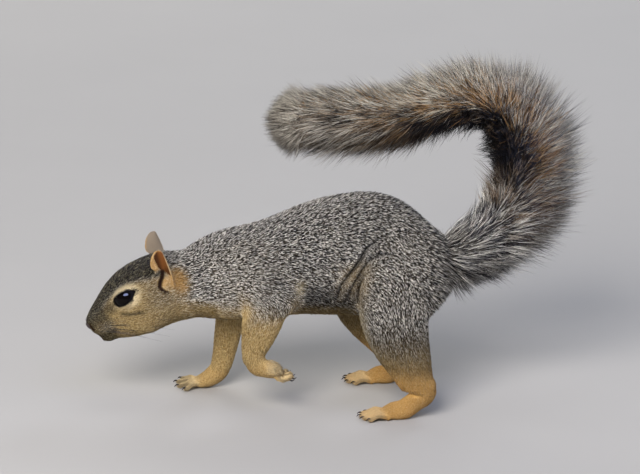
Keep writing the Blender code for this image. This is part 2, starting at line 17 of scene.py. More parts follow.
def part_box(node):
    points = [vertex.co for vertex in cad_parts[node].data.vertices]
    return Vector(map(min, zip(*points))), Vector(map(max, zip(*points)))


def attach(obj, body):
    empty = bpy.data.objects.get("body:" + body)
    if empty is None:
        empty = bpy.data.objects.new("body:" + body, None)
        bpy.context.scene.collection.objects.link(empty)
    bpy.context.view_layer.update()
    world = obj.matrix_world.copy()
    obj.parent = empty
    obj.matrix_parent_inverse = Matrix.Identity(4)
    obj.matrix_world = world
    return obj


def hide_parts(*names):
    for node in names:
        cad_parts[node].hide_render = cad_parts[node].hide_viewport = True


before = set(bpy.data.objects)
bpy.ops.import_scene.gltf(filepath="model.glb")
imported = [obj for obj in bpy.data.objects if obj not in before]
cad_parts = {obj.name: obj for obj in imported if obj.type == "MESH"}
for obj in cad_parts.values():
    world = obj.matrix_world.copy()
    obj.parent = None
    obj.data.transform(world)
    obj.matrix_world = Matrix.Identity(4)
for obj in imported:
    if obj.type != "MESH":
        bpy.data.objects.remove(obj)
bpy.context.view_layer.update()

bl_info = {
    "name": "Squirrel Model Looks",
    "version": (1, 0, 0),
    "blender": (4, 5, 0),
    "location": "View3D > Sidebar > Squirrel",
    "description": "Builds the skin, eyes, claws, whiskers and coat of a squirrel model",
    "category": "Object",
}

MM = 0.001
SEEDS = {"coat": 12, "fine": 13, "tail": 14, "whiskers": 16}

# ---- the animal's measures, mm --------------------------------------------------------------
HEAD_PIVOT = (0.0, -118.0, 88.0)
HEAD_PITCH = 25.0  # degrees, nose down
EYE = (10.9, -32.0, 1.2)  # in the head's axes, as are all the places of the face
EYE_RADIUS = 6.75
EYE_AXIS = (0.93, -0.25, 0.20)  # the way the left eye looks
EYE_TILT = 9.0  # degrees, rear corner up
EYE_OPENING = (6.6, 4.0)  # half length and half height between the lids
EYE_CORNERS = (9.4, 4.6)  # the same to the ends of the dark skin at its corners
EYE_BACK = 0.9  # how far behind the ball's middle the opening sits
LID_PROUD = 0.35
STREAK = [(-38.2, -7.2), (-33.5, -9.3), (-28.0, -10.4), (-22.5, -10.2)]  # a dark fold below it: Y, Z

EAR_ROOT = (15.8, -2.4, -1.5)
EAR_TIP = (20.65, 1.1, 25.85)
EAR_FACING = (0.93, -0.36, 0.05)
EAR_THICK = 1.6
EAR_LENGTH = 28.0
# Along its height: how far its middle leans to the rear.
EAR_LEAN = ((0.0, 0.3, 0.45, 0.6, 0.77, 0.9, 1.0), (1.0, 0.8, 0.25, -0.5, -0.3, 0.1, 0.8))
# The front edge starts low down at the canal: share of the height, share of the half cup.
EAR_FRONT = ((0.0, 0.2, 0.4, 0.6), (-0.1, 0.2, 0.7, 1.0))
# The slit of the ear, as places to the rear and up in the ear's own plane.
EAR_CANAL = [(0.0, 11.6), (-1.3, 7.6), (-3.2, 4.7), (-4.1, 1.8)]
EAR_NOTCH = [(-4.1, 1.8), (-2.9, 0.0), (-1.2, -2.4), (0.2, -3.0)]
# share of the height, half width, half angle of the cup in degrees
EAR_SHAPE = [
    (0.00, 4.6, 96), (0.20, 5.4, 86), (0.45, 6.0, 74), (0.60, 6.6, 68),
    (0.77, 5.6, 60), (0.90, 4.4, 50), (0.96, 3.0, 46), (1.00, 1.5, 40),
]  # fmt: skip

# Digits, inner to outer: place across the foot, spread in degrees, length to the claw's root.
HIND_TOES = [(-6.2, -12, 8.0), (-3.3, -6, 12.0), (0.0, 0, 13.0), (3.4, 6, 12.0), (6.3, 13, 8.5)]
HAND_TOES = [(-5.2, -32, 9.5), (-1.9, -10, 12.0), (1.7, 12, 12.0), (5.0, 32, 10.0)]
# Foot: its toes, their root, side, X, heel's Y, degrees turned out, turned over, length share.
FEET = {
    "hindfoot_left": (HIND_TOES, (0.0, 23.0, 2.8), 1, 36.0, 52.0, 2.0, 0.0, 1.0),
    "hindfoot_right": (HIND_TOES, (0.0, 23.0, 2.8), -1, 36.0, 52.0, 2.0, 0.0, 1.0),
    "forepaw_right": (HAND_TOES, (0.6, -93.0, 2.7), -1, 28.5, -76.3, 0.0, 0.0, 1.0),
    "forepaw_left": (HAND_TOES, (0.0, -46.0, 27.6), 1, 27.0, -62.3, 0.0, 170.0, 0.7),
}
# The feet from the ankle to the roots of the toes: X from the foot's middle, Y, Z, half depth,
# half width.
SOLES = {
    "hindfoot": [
        (0, 49, 24, 10.0, 7.8), (0, 49.5, 17, 9.2, 7.1), (0, 45, 11.6, 7.2, 6.6),
        (0, 38, 6.4, 6.9, 6.8), (0, 31, 5.2, 6.0, 7.2), (0, 26, 4.0, 4.4, 7.0),
    ],
    "forepaw_right": [
        (0, -76.3, 18, 7.4, 6.4), (0, -79, 11.5, 7.0, 6.3), (0, -83.5, 7.2, 6.4, 6.6),
        (0.3, -88, 4.9, 5.0, 7.2), (0.6, -91.5, 3.8, 3.9, 7.2),
    ],
    "forepaw_left": [
        (0, -62.3, 40, 7.6, 6.3), (0, -59.5, 34, 7.0, 6.5), (0, -54.5, 31.8, 6.2, 6.9),
        (0, -50, 30.4, 5.4, 7.0), (0, -46.5, 29.2, 4.2, 6.6),
    ],
}  # fmt: skip
# Where the hair of each foot starts, at the ankle.
ANKLES = {
    "hindfoot_left": (36, 50, 10),
    "hindfoot_right": (-36, 50, 10),
    "forepaw_right": (-28.5, -78, 9),
    "forepaw_left": (27.0, -61, 33),
}
TOE_RADIUS = 2.25
TOE_LINE = [(-0.45, -0.3), (0.1, 1.2), (0.5, 1.1), (1.0, -0.8)]  # share of length, rise
TOE_TAPER = 0.14
CLAW_LENGTH = 2.7
CLAW_RADIUS = 0.52
# share of the length, rise, share of the radius
CLAW_LINE = [(-0.25, -0.1, 1.0), (0.0, 0.0, 1.0), (0.45, 0.15, 0.85), (0.8, -0.5, 0.55), (1.0, -1.2, 0.2)]

# Middle lines, down each limb: X, Y, Z.
LIMBS = {
    "foreleg_left": [(12, -80, 106), (26, -60, 87), (30, -46, 77), (28.5, -60, 54), (27, -62, 36)],
    "foreleg_right": [(-12, -84, 106), (-24, -75, 84), (-25, -71, 62), (-27, -75, 28), (-28, -78, 12)],
    "hindleg_left": [
        (14, 34, 122), (26, 30, 98), (31, 28, 78), (33.5, 33, 53), (36, 43, 30), (36, 50, 15),
    ],
    "hindleg_right": [
        (-14, 32, 120), (-26, 22, 94), (-31, 15, 74), (-34, 21, 48), (-36, 38, 26), (-36, 50, 14),
    ],
}  # fmt: skip

# The tail's bone, Y and Z, and the brush round it: middle in Y and Z, half depth, half width.
TAIL_BONE = [
    (62.6, 101.5), (74.5, 102.2), (87.5, 109.8), (99.7, 122.3), (107.8, 137.5), (111.7, 154.7),
    (111.0, 172.7), (105.1, 188.6), (93.9, 200.3), (79.7, 205.8), (63.8, 204.5), (45.4, 198.9),
    (25.5, 196.2), (5.5, 196.2), (-14.4, 196.2), (-34.4, 195.5),
]  # fmt: skip
TAIL_BRUSH = [
    (60.0, 88.0, 23.0, 18.0), (71.0, 92.0, 22.5, 18.0), (86.0, 100.0, 22.0, 19.0),
    (101.0, 109.5, 25.5, 21.0), (112.5, 121.5, 30.0, 25.0), (122.5, 139.0, 32.5, 28.0),
    (126.5, 158.0, 33.0, 30.0), (125.0, 176.5, 33.0, 31.0), (119.0, 193.0, 32.5, 31.0),
    (107.0, 205.5, 30.5, 31.0), (92.0, 212.5, 26.5, 31.0), (74.0, 213.5, 24.0, 30.5),
    (56.0, 208.5, 24.0, 30.0), (37.5, 200.0, 24.5, 29.5), (19.0, 194.5, 24.5, 29.0),
    (0.5, 193.0, 25.0, 28.0), (-18.5, 193.0, 25.0, 26.5), (-34.5, 193.5, 22.5, 23.0),
    (-46.0, 194.0, 18.5, 18.5), (-53.0, 194.5, 13.5, 13.5),
]  # fmt: skip
TAIL_CORE = (7.0, 4.0)  # radius of the tail's own flesh at its root and tip
BRUSH_LEAST = 15.0  # the least half size that its end has
# The tail's lengths, and the share of the tail at which each ends.
TAIL_LENGTHS = {"base": 0.088, "rise": 0.30, "bend": 0.49, "arch": 0.80, "tip": 2.0}

# The coat on the back, halfway and on the nose: its fineness, its depth in mm, how steep it is.
FINE_STEPS = (0, 0.5, 1)
COAT_DEPTH = (1.9, 1.0, 0.35)
COAT_STEEP = (1.0, 0.62, 0.42)
HALFWAY_TUFT = (3.2, 0.38)  # length and width, mm
FINE_FROM = 0.45  # the fineness at which the fine coat takes over
# How fine it is by part: places along the head's own Y, or else up, and the values there.
FINENESS = [
    ("neck", (0,), (0.12,)),
    ("head", (-62, -52, -40, -25, 0), (1.0, 0.93, 0.74, 0.5, 0.34)),
    ("foreleg", (25, 50, 80, 100), (0.78, 0.66, 0.36, 0.10)),
    ("hindleg", (15, 35, 60, 90), (0.78, 0.58, 0.20, 0.0)),
    ("forepaw", (0,), (0.94,)),
    ("hindfoot", (0,), (0.94,)),
    ("ear", (0,), (0.97,)),
]

# Which lines the hair lies along besides the limbs': X, Y, Z, from front to rear.
COURSES = [
    [(0, -177, 56), (0, -150, 88), (0, -122, 104), (0, -110, 104), (0, -60, 123), (0, -20, 141)],
    [(0, -20, 141), (0, 10, 145), (0, 40, 136), (0, 60, 120), (0, 76, 108), (0, 90, 116)],
    [(7, -172, 50), (14, -150, 62), (19, -130, 70), (21, -112, 76), (24, -92, 84)],
    [(24, -92, 92), (29, -66, 96), (31, -40, 92), (33, -10, 86), (34, 6, 80)],
    [(20, -98, 104), (27, -66, 112), (30, -30, 114), (33, 0, 108), (34, 14, 102)],
    [(16, -60, 122), (20, -20, 134), (22, 14, 136), (26, 34, 124), (27, 50, 106), (20, 66, 92)],
    [(0, -168, 44), (0, -140, 46), (0, -115, 52), (0, -80, 58), (0, -30, 60), (0, 20, 60)],
]
# The same on the left of the head, in its own axes.
FACE_COURSES = [
    [(4, -60, -6), (11, -46, -8), (17, -32, -12), (20, -16, -12), (20, -2, -8)],
    [(3, -57, 0), (9, -44, 8), (13, -30, 13), (13, -14, 16), (11, 0, 14)],
]
# Creases of loose skin ahead of the left thigh, seen from the side: Y, Z.
CREASES = [
    [(24.7, 125.6), (13.3, 118.9), (8.3, 115.1), (4.6, 107.5), (-1.8, 98.5), (-7.0, 90.5), (-8.8, 81.0)],
    [(20.5, 113.2), (10.5, 108.0), (5.8, 101.5), (1.6, 92.8), (-1.4, 83.0)],
    [(9.0, 102.0), (6.0, 96.0), (4.4, 88.0), (4.8, 78.0)],
]

# On the left of the face, in the head's axes: a nostril's ends, the mouth, the crown's lower edge.
NOSTRIL = ((4.2, -60.4, -8.8), (6.0, -59.4, -12.2))
MOUTH = [(0, -60, -16), (4, -57, -18), (7, -51, -19), (9.5, -44, -17.5)]
CROWN_EDGE = ((-62, -52, -42, -32, -20, -8, 6), (-8.5, -3.5, 2.8, 7.6, 8.0, 6.0, 2.0))
# The whiskers' roots on the left, in rows from the top, each from front to rear, in the head's axes.
WHISKERS = [
    (9.4, -50.5, -9.6), (10.5, -47.4, -10.6), (11.2, -44.2, -11.6),
    (8.6, -55.0, -10.2), (9.2, -51.8, -11.9), (10.2, -48.6, -12.7), (11.3, -45.2, -13.6),
    (8.3, -56.2, -11.9), (8.9, -52.8, -13.9), (9.4, -49.7, -14.9), (10.4, -46.4, -15.6),
    (8.0, -55.2, -14.6), (8.7, -51.6, -16.1), (9.2, -48.3, -17.2),
]  # fmt: skip

# The parts that one skin covers, by the names of their nodes.
FLESH = ["head", "neck", "trunk"]
LIMB_NAMES = ("foreleg", "hindleg", "forepaw", "hindfoot")
FLESH += [limb + side for limb in LIMB_NAMES for side in ("_left", "_right")]
PARTS = FLESH + ["ear_left", "ear_right"]
VOXEL, QUICK_VOXEL = 0.75, 1.3  # mm, how fine the skin is made one
FACE_LIMIT = 190000  # the most triangles of one piece
SKIN_FACES = 170000

# Tones among the hairs, the darkest hairs first: share of the hairs, colour. Only tail_lower
# runs along each hair, from its root.
TONES = {
    "grey": [(0.0, "grey_dark"), (0.44, "grey_dark"), (0.58, "grey_mid"), (0.76, "grey_light")],
    "tawny": [(0.0, "tawny_dark"), (0.08, "tawny_dark"), (0.26, "tawny"), (0.95, "tawny_light")],
    "crown": [(0.0, "black"), (0.62, "black"), (0.82, "olive"), (1.0, "olive_light")],
    "tail_lower": [(0.0, "tail_base"), (0.25, "tail_tawny"), (0.48, "tail_tawny"), (0.56, "tail_dark")],
    "tail_tips": [
        (0.0, "tail_dark"), (0.24, "tail_dark"), (0.44, "grey_mid"), (0.6, "silver"), (0.88, "silver_tip"),
    ],
    "tail_middle": [
        (0.0, "black"), (0.32, "tail_dark"), (0.42, "tail_base"), (0.54, "tail_tawny"),
        (0.76, "tail_tawny"), (0.86, "silver"), (0.96, "silver_tip"),
    ],
    "tail_grey": [(0.0, "grey_dark"), (0.46, "grey_dark"), (0.64, "grey_mid"), (0.9, "grey_light")],
    "tail_black": [(0.0, "black"), (0.88, "black"), (0.96, "tail_base"), (1.0, "grey_mid")],
}  # fmt: skip
NONE, FULL = (0, 0, 0), (1, 1, 1)
KERATIN = 1.55  # index of refraction of hair, horn and bristle
SKIN_IOR = 1.45

# The stage, in metres from the animal: half width of the board, where its curve starts, the
# curve's radius, and its height.
BOARD = (5.0, 4.0, 0.8, 4.0)
# name, place, aims at, size, power in watts, colour, seen in reflections, lights matt surfaces
LIGHTS = [
    ("softbox_key", (1.8, -0.95, 1.45), (0, 0, 0.1), (1.3, 1.3), 84.0, "#fffaf3", False, True),
    ("softbox_top", (-0.3, 0.2, 2.3), (0, 0, 0.1), (1.4, 1.4), 7.0, "#f4f5f8", True, True),
    ("softbox_rim", (-1.6, 1.2, 1.3), (0, 0, 0.15), (0.8, 0.8), 10.0, "#eaf1ff", True, True),
    ("softbox_far", (-2.1, -0.5, 1.1), (0, 0, 0.12), (1.6, 1.6), 26.0, "#f6f4f0", False, True),
    # A wide pale panel that shows as the bluish gleam high in the eye.
    ("catch_panel", (1.22, 0.43, 1.83), (0.01, -0.14, 0.08), (2.4, 1.1), 270.0, "#bccaff", True, False),
]
# The camera, in mm: what it looks at, how far off it is, and the width of its view there.
CAMERA_AIM = (0.0, -17.8, 114.0)
CAMERA_FAR = 3000.0
CAMERA_RIGHT = (0.1272, 0.9911, 0.0393)
CAMERA_UP = (-0.2951, 0.0, 0.9555)
VIEW_WIDTH = 422.4
SENSOR = 36.0

# What the skin stores of the markings and of the painted shade, and what each tuft takes over from it.
ZONES = ("tawny", "gold", "crown", "pale", "dark", "bare", "hollow_shade", "ear")
COAT_KEYS = ("tawny", "gold", "crown", "pale", "dark", "ear", "fine")
# The coat's pieces, by how the names of their parts start.
COAT_GROUPS = {
    "head": ("head", "ear"),
    "neck": ("neck",),
    "trunk": ("trunk",),
    "forelegs": ("foreleg", "forepaw"),
    "hindlegs": ("hindleg", "hindfoot"),
}


# ---- numbers --------------------------------------------------------------------------------
def linear(code):
    """A colour given as sRGB hex, turned to the linear values that shaders take."""
    parts = [int(code[i : i + 2], 16) / 255 for i in (1, 3, 5)]
    return tuple(c / 12.92 if c <= 0.04045 else ((c + 0.055) / 1.055) ** 2.4 for c in parts)


def smooth(low, high, value):
    """0 below low, 1 above high, and a soft step between."""
    t = np.clip((value - low) / (high - low), 0, 1)
    return t * t * (3 - 2 * t)


def unit(vectors):
    length = np.linalg.norm(vectors, axis=-1, keepdims=True)
    return vectors / np.maximum(length, 1e-9)


def through(rows, steps):
    """Rows of numbers along a smooth curve through the given ones (Catmull-Rom)."""
    keys = np.array(rows, float)
    ends = np.vstack([2 * keys[0] - keys[1], keys, 2 * keys[-1] - keys[-2]])
    out = []
    for i in range(len(keys) - 1):
        a, b, c, d = ends[i : i + 4]
        for t in np.arange(steps) / steps:
            line = 2 * b + (c - a) * t
            bend = (2 * a - 5 * b + 4 * c - d) * t**2 + (3 * b - a - 3 * c + d) * t**3
            out.append((line + bend) / 2)
    out.append(keys[-1])
    return np.array(out)


def evenly(rows, steps=12):
    """The same curve as a function of the share of its length, 0 to 1 and a little past."""
    dense = through(rows, steps)
    gaps = np.linalg.norm(np.diff(dense[:, :2], axis=0), axis=1)
    share = np.concatenate([[0], np.cumsum(gaps)])
    share /= share[-1]

    def at(t):
        t = np.asarray(t, float)
        inside = np.stack([np.interp(t, share, dense[:, k]) for k in range(dense.shape[1])], -1)
        slope = (dense[-1] - dense[-4]) / (share[-1] - share[-4])
        return inside + np.maximum(t - 1, 0)[..., None] * slope

    return at


def turned(points, matrix):
    """Points through a 4 x 4 matrix."""
    m = np.array(matrix)
    return np.asarray(points, float) @ m[:3, :3].T + m[:3, 3]


HEAD = Matrix.Translation(HEAD_PIVOT) @ Matrix.Rotation(math.radians(HEAD_PITCH), 4, "X")
# The frame's Y of the animal's own origin, from where the eye is in each.
EYE_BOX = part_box("eye_left")
SHIFT = (EYE_BOX[0][1] + EYE_BOX[1][1]) / (2 * MM) - (HEAD @ Vector(EYE)).y
ORIGIN = np.array((0.0, SHIFT, 0.0))
BONE_AT, BRUSH_AT = evenly(TAIL_BONE), evenly(TAIL_BRUSH)


def to_frame(points):
    """The animal's millimetres as the frame's metres."""
    return (np.asarray(points, float) + ORIGIN) * MM


def from_frame(points):
    return np.asarray(points, float) / MM - ORIGIN


def in_head(points):
    """The animal's places in the head's own axes."""
    return turned(points, HEAD.inverted())


def eye_axes(side):
    """Rear, up and outward of an eye, in the head's axes."""
    outward = unit(np.array(EYE_AXIS))
    tilt = math.radians(EYE_TILT)
    rear = np.array((0.0, math.cos(tilt), math.sin(tilt)))
    rear = unit(rear - outward * rear.dot(outward))
    axes = np.array((rear, np.cross(outward, rear), outward))
    if axes[1][2] < 0:
        axes[1] *= -1
    return axes * (side, 1, 1)


# ---- meshes ---------------------------------------------------------------------------------
def set_fields(mesh, fields):
    """Stores named numbers or vectors on the points of a mesh."""
    for key, values in fields.items():
        kind, word = ("FLOAT_VECTOR", "vector") if values.ndim == 2 else ("FLOAT", "value")
        layer = mesh.attributes.new(key, kind, "POINT")
        layer.data.foreach_set(word, values.astype(np.float32).ravel())


def piece_from(name, points, triangles, fields=None, uv=None):
    """A mesh object in the frame's metres, from arrays in the animal's millimetres."""
    mesh = bpy.data.meshes.new(name)
    mesh.vertices.add(len(points))
    mesh.vertices.foreach_set("co", to_frame(points).astype(np.float32).ravel())
    mesh.loops.add(triangles.size)
    mesh.loops.foreach_set("vertex_index", triangles.astype(np.int32).ravel())
    mesh.polygons.add(len(triangles))
    mesh.polygons.foreach_set("loop_start", np.arange(0, triangles.size, 3, dtype=np.int32))
    mesh.update(calc_edges=True)
    mesh.shade_smooth()
    set_fields(mesh, fields or {})
    if uv is not None:
        layer = mesh.uv_layers.new(name="OFBake")
        layer.data.foreach_set("uv", uv[triangles.ravel()].astype(np.float32).ravel())
    obj = bpy.data.objects.new(name, mesh)
    bpy.context.scene.collection.objects.link(obj)
    return obj


def tube(path, radii, sides=10, widths=None):
    """A closed tapered tube along a path, with rounded ends, as points and triangles."""
    path, radii = np.asarray(path, float), np.asarray(radii, float)
    flat = np.ones(len(path)) if widths is None else np.asarray(widths, float) / radii
    tangents = unit(np.gradient(path, axis=0))
    spine = unit(path[-1] - path[0])
    guide = np.array((1.0, 0, 0)) if abs(spine[0]) < 0.8 else np.array((0, 0, 1.0))
    across = unit(guide - tangents * (tangents @ guide)[:, None])
    up = np.cross(across, tangents)
    turn = np.arange(sides) * 2 * math.pi / sides
    # Each ring: its place on the path, which way it is set off along it, degrees round the end.
    stations = [(0, -1, 75), (0, -1, 45)] + [(i, 0, 0) for i in range(len(path))]
    stations += [(-1, 1, 45), (-1, 1, 75)]
    rings = []
    for i, way, angle in stations:
        lean = math.radians(angle)
        centre = path[i] + way * tangents[i] * radii[i] * math.sin(lean)
        ring = np.outer(np.cos(turn) * flat[i], across[i]) + np.outer(np.sin(turn), up[i])
        rings.append(centre + radii[i] * math.cos(lean) * ring)
    points = np.vstack(rings)
    faces = []
    for r in range(len(rings) - 1):
        for s in range(sides):
            a, b = r * sides + s, r * sides + (s + 1) % sides
            faces += [(a, b, b + sides), (a, b + sides, a + sides)]
    last = (len(rings) - 1) * sides
    for s in range(1, sides - 1):
        faces += [(0, s + 1, s), (last, last + s, last + s + 1)]
    return points, np.array(faces)


def quads(a, b, c, d):
    """Two triangles for each four corners."""
    return np.vstack([np.stack([k.ravel() for k in three], 1) for three in ((a, b, c), (a, c, d))])


def merged(shapes):
    """Several (points, triangles) as one."""
    points, faces, count = [], [], 0
    for p, f in shapes:
        points.append(p)
        faces.append(f + count)
        count += len(p)
    return np.vstack(points), np.vstack(faces)


def arrays(mesh):
    """Points in the animal's millimetres, triangles and outward normals of a mesh."""
    points = np.empty(len(mesh.vertices) * 3)
    mesh.vertices.foreach_get("co", points)
    normals = np.empty(len(mesh.vertices) * 3)
    mesh.vertices.foreach_get("normal", normals)
    mesh.calc_loop_triangles()
    triangles = np.empty(len(mesh.loop_triangles) * 3, dtype=np.int32)
    mesh.loop_triangles.foreach_get("vertices", triangles)
    return from_frame(points.reshape(-1, 3)), triangles.reshape(-1, 3), normals.reshape(-1, 3)


def links(triangles):
    """Each edge once, as pairs of vertices."""
    pairs = np.vstack([triangles[:, (0, 1)], triangles[:, (1, 2)], triangles[:, (2, 0)]])
    return np.unique(np.sort(pairs, axis=1), axis=0)


def softened(values, pairs, weights, times):
    """Values moved towards their neighbours' mean, that many times."""
    a, b = pairs[:, 0], pairs[:, 1]
    count = len(values)
    near = np.maximum(np.bincount(a, minlength=count) + np.bincount(b, minlength=count), 1)
    columns = [values] if values.ndim == 1 else list(values.T)
    out = []
    for column in columns:
        column = column.copy()
        for _ in range(times):
            total = np.bincount(a, column[b], count) + np.bincount(b, column[a], count)
            column += weights * (total / near - column)
        out.append(column)
    return out[0] if values.ndim == 1 else np.stack(out, axis=1)


def evaluated(obj):
    bpy.context.view_layer.update()
    graph = bpy.context.evaluated_depsgraph_get()
    return bpy.data.meshes.new_from_object(obj.evaluated_get(graph))


def finish_piece(obj, material, slot, *nodes):
    """Gives a piece its material and its body, and hides what it stands for. The slot is not used."""
    obj.data.materials.append(material)
    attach(obj, "root")
    if nodes:
        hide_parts(*nodes)
    return obj


# ---- materials ------------------------------------------------------------------------------
# Settings of the nodes that mix two colours and that add two numbers.
MIXED = {"data_type": "RGBA", "clamp_factor": True}
ADDED = {"operation": "ADD", "use_clamp": True}


def feed(tree, made, inputs):
    """Links sockets to a node's inputs and sets the rest as values."""
    for key, value in inputs.items():
        if isinstance(value, bpy.types.NodeSocket):
            tree.links.new(value, made.inputs[key])
        else:
            colour = made.inputs[key].type == "RGBA"
            made.inputs[key].default_value = (*value, 1) if colour else value


def node(tree, kind, inputs, output=0, stops=(), **settings):
    """Adds a shader node with its settings, colour stops, values and links, and gives an output."""
    made = tree.nodes.new("ShaderNode" + kind)
    for key, value in settings.items():
        setattr(made, key, value)
    if stops:
        points = made.color_ramp.elements
        while len(points) < len(stops):
            points.new(0.5)
        for point, (place, colour) in zip(points, stops):
            point.position = place
            point.color = (*colour, 1.0)
    feed(tree, made, inputs)
    return made.outputs[output]


def new_material(name):
    material = bpy.data.materials.new(name)
    material.use_nodes = True
    return material, material.node_tree


def surfaced(material, colour, roughness, ior, gloss, more=None):
    """Gives a material its colour, roughness, index of refraction and gloss."""
    values = {"Base Color": colour, "Roughness": roughness, "IOR": ior, "Specular IOR Level": gloss}
    tree = material.node_tree
    feed(tree, tree.nodes["Principled BSDF"], {**values, **(more or {})})
    return material


def toned(tree, looks, value, *names):
    """For each name, its row of tones as colours that follow a value."""
    for name in names:
        stops = [(place, getattr(looks, tone)) for place, tone in TONES[name]]
        yield node(tree, "ValToRGB", {"Fac": value}, "Color", stops)


def stored(tree, *names):
    """The numbers that a piece stores under these names."""
    return [node(tree, "Attribute", {}, "Fac", attribute_name=name) for name in names]


def layered(tree, colour, layers):
    """Colours laid over a first one, each by the share that the piece stores under its name."""
    for zone, tone in layers:
        (share,) = stored(tree, zone)
        colour = node(tree, "Mix", {0: share, 6: colour, 7: tone}, 2, **MIXED)
    return colour


def shaded_below(tree, looks, colour, share):
    """A colour that is shaded towards the hair's root, where its share is under 1."""
    values = {0: 1.0, 6: colour, 7: looks.undercoat}
    roots = node(tree, "Mix", values, 2, blend_type="MULTIPLY", **MIXED)
    return node(tree, "Mix", {0: share, 6: roots, 7: colour}, 2, **MIXED)


def coat_colour(tree, looks, strand):
    """The markings and the painted shade, shared by skin and coat. strand is a number that differs from
    hair to hair.
    """
    grey, tawny, crown = toned(tree, looks, strand, "grey", "tawny", "crown")
    golden = layered(tree, tawny, [("gold", looks.gold)])
    layers = [("tawny", golden), ("crown", crown), ("pale", looks.cream)]
    # The dark layer holds both dark marks and painted shade.
    return layered(tree, grey, layers + [("ear", looks.ear_back), ("dark", looks.black)])


def pelt_material(looks):
    """Guard hair, grown: agouti bands give the grizzle, and a soft gloss runs along the hairs."""
    material, tree = new_material("guard_hair")
    along, strand, fine, tawny = stored(tree, "along", "strand", "fine", "tawny")
    grown = node(tree, "ValToRGB", {"Fac": along}, "Color", [(0.30, NONE), (0.62, FULL)])
    # The fine coat and the tawny one are less shaded at the root.
    half = node(tree, "Math", {0: tawny, 1: 0.5}, operation="MULTIPLY", use_clamp=True)
    plain = node(tree, "Math", {0: fine, 1: half}, **ADDED)
    share = node(tree, "Math", {0: grown, 1: plain}, **ADDED)
    colour = shaded_below(tree, looks, coat_colour(tree, looks, strand), share)
    return surfaced(material, colour, 0.65, KERATIN, 0.12)


def skin_material(looks):
    """Pelt between the tufts: short underfur, drawn as fine flecks with a matching relief."""
    material, tree = new_material("underfur")
    place = node(tree, "TexCoord", {}, "Object")
    # Underfur is about 0.02 mm thick. It is drawn as flecks of 0.8 mm, which can be seen.
    flecks = node(tree, "TexNoise", {"Vector": place, "Scale": 1250.0, "Detail": 3.0}, "Fac")
    strand = node(tree, "MapRange", {"Value": flecks, 1: 0.36, 2: 0.66})
    colour = coat_colour(tree, looks, strand)
    # Over the bare skin, the painted shade of the hollows.
    colour = layered(tree, colour, [("bare", looks.bare_skin), ("hollow_shade", looks.hollow_shade_colour)])
    relief = node(tree, "Bump", {"Height": flecks, "Strength": 0.6, "Distance": 0.0006}, "Normal")
    return surfaced(material, colour, 0.8, SKIN_IOR, 0.05, {"Normal": relief})


def tail_material(looks):
    """Long tail hair, grown: tawny below, a black band, and in most hairs a pale tip."""
    material, tree = new_material("tail_hair")
    along, strand = stored(tree, "along", "strand")
    # The bands lie a little higher on some hairs than on others.
    shift = node(tree, "Math", {0: strand, 1: 0.3, 2: -0.15}, operation="MULTIPLY_ADD")
    band = node(tree, "Math", {0: along, 1: shift}, **ADDED)
    (lower,) = toned(tree, looks, band, "tail_lower")
    names = ("tail_tips", "tail_middle", "tail_grey", "tail_black")
    tips, middle, grey, black = toned(tree, looks, strand, *names)
    upper = node(tree, "ValToRGB", {"Fac": band}, "Color", [(0.60, NONE), (0.72, FULL)])
    fringe = node(tree, "Mix", {0: upper, 6: lower, 7: tips}, 2, **MIXED)
    colour = layered(tree, middle, [("fringe", fringe), ("grizzled", grey), ("dark", black)])
    grown = node(tree, "ValToRGB", {"Fac": along}, "Color", [(0.15, NONE), (0.5, FULL)])
    return surfaced(material, shaded_below(tree, looks, colour, grown), 0.6, KERATIN, 0.12)


def plain_material(
    name, code, roughness, ior, gloss=0.5, scale=900.0, vary=0.28, depth=0.0, coat=(0.0, 0.03)
):
    """One finish with a faint unevenness in its colour and its surface. coat is a clear layer."""
    material, tree = new_material(name)
    colour = linear(code)
    place = node(tree, "TexCoord", {}, "Object")
    cloud = node(tree, "TexNoise", {"Vector": place, "Scale": scale, "Detail": 4.0}, "Fac")
    darker = tuple(c * (1 - vary) for c in colour)
    varied = node(tree, "Mix", {0: cloud, 6: darker, 7: colour}, 2, **MIXED)
    more = dict(zip(("Coat Weight", "Coat Roughness"), coat))
    if depth:
        values = {"Height": cloud, "Strength": 0.5, "Distance": depth}
        more["Normal"] = node(tree, "Bump", values, "Normal")
    return surfaced(material, varied, roughness, ior, gloss, more)


# ---- settings -------------------------------------------------------------------------------
def colour_property(name, description, code):
    return FloatVectorProperty(
        name=name, description=description, subtype="COLOR", size=3, min=0, max=1, default=linear(code)
    )


def length_property(name, description, default, least):
    return FloatProperty(name=name, description=description, default=default, min=least, unit="LENGTH")


def count_property(name, description, default):
    return IntProperty(name=name, description=description, default=default, min=100)


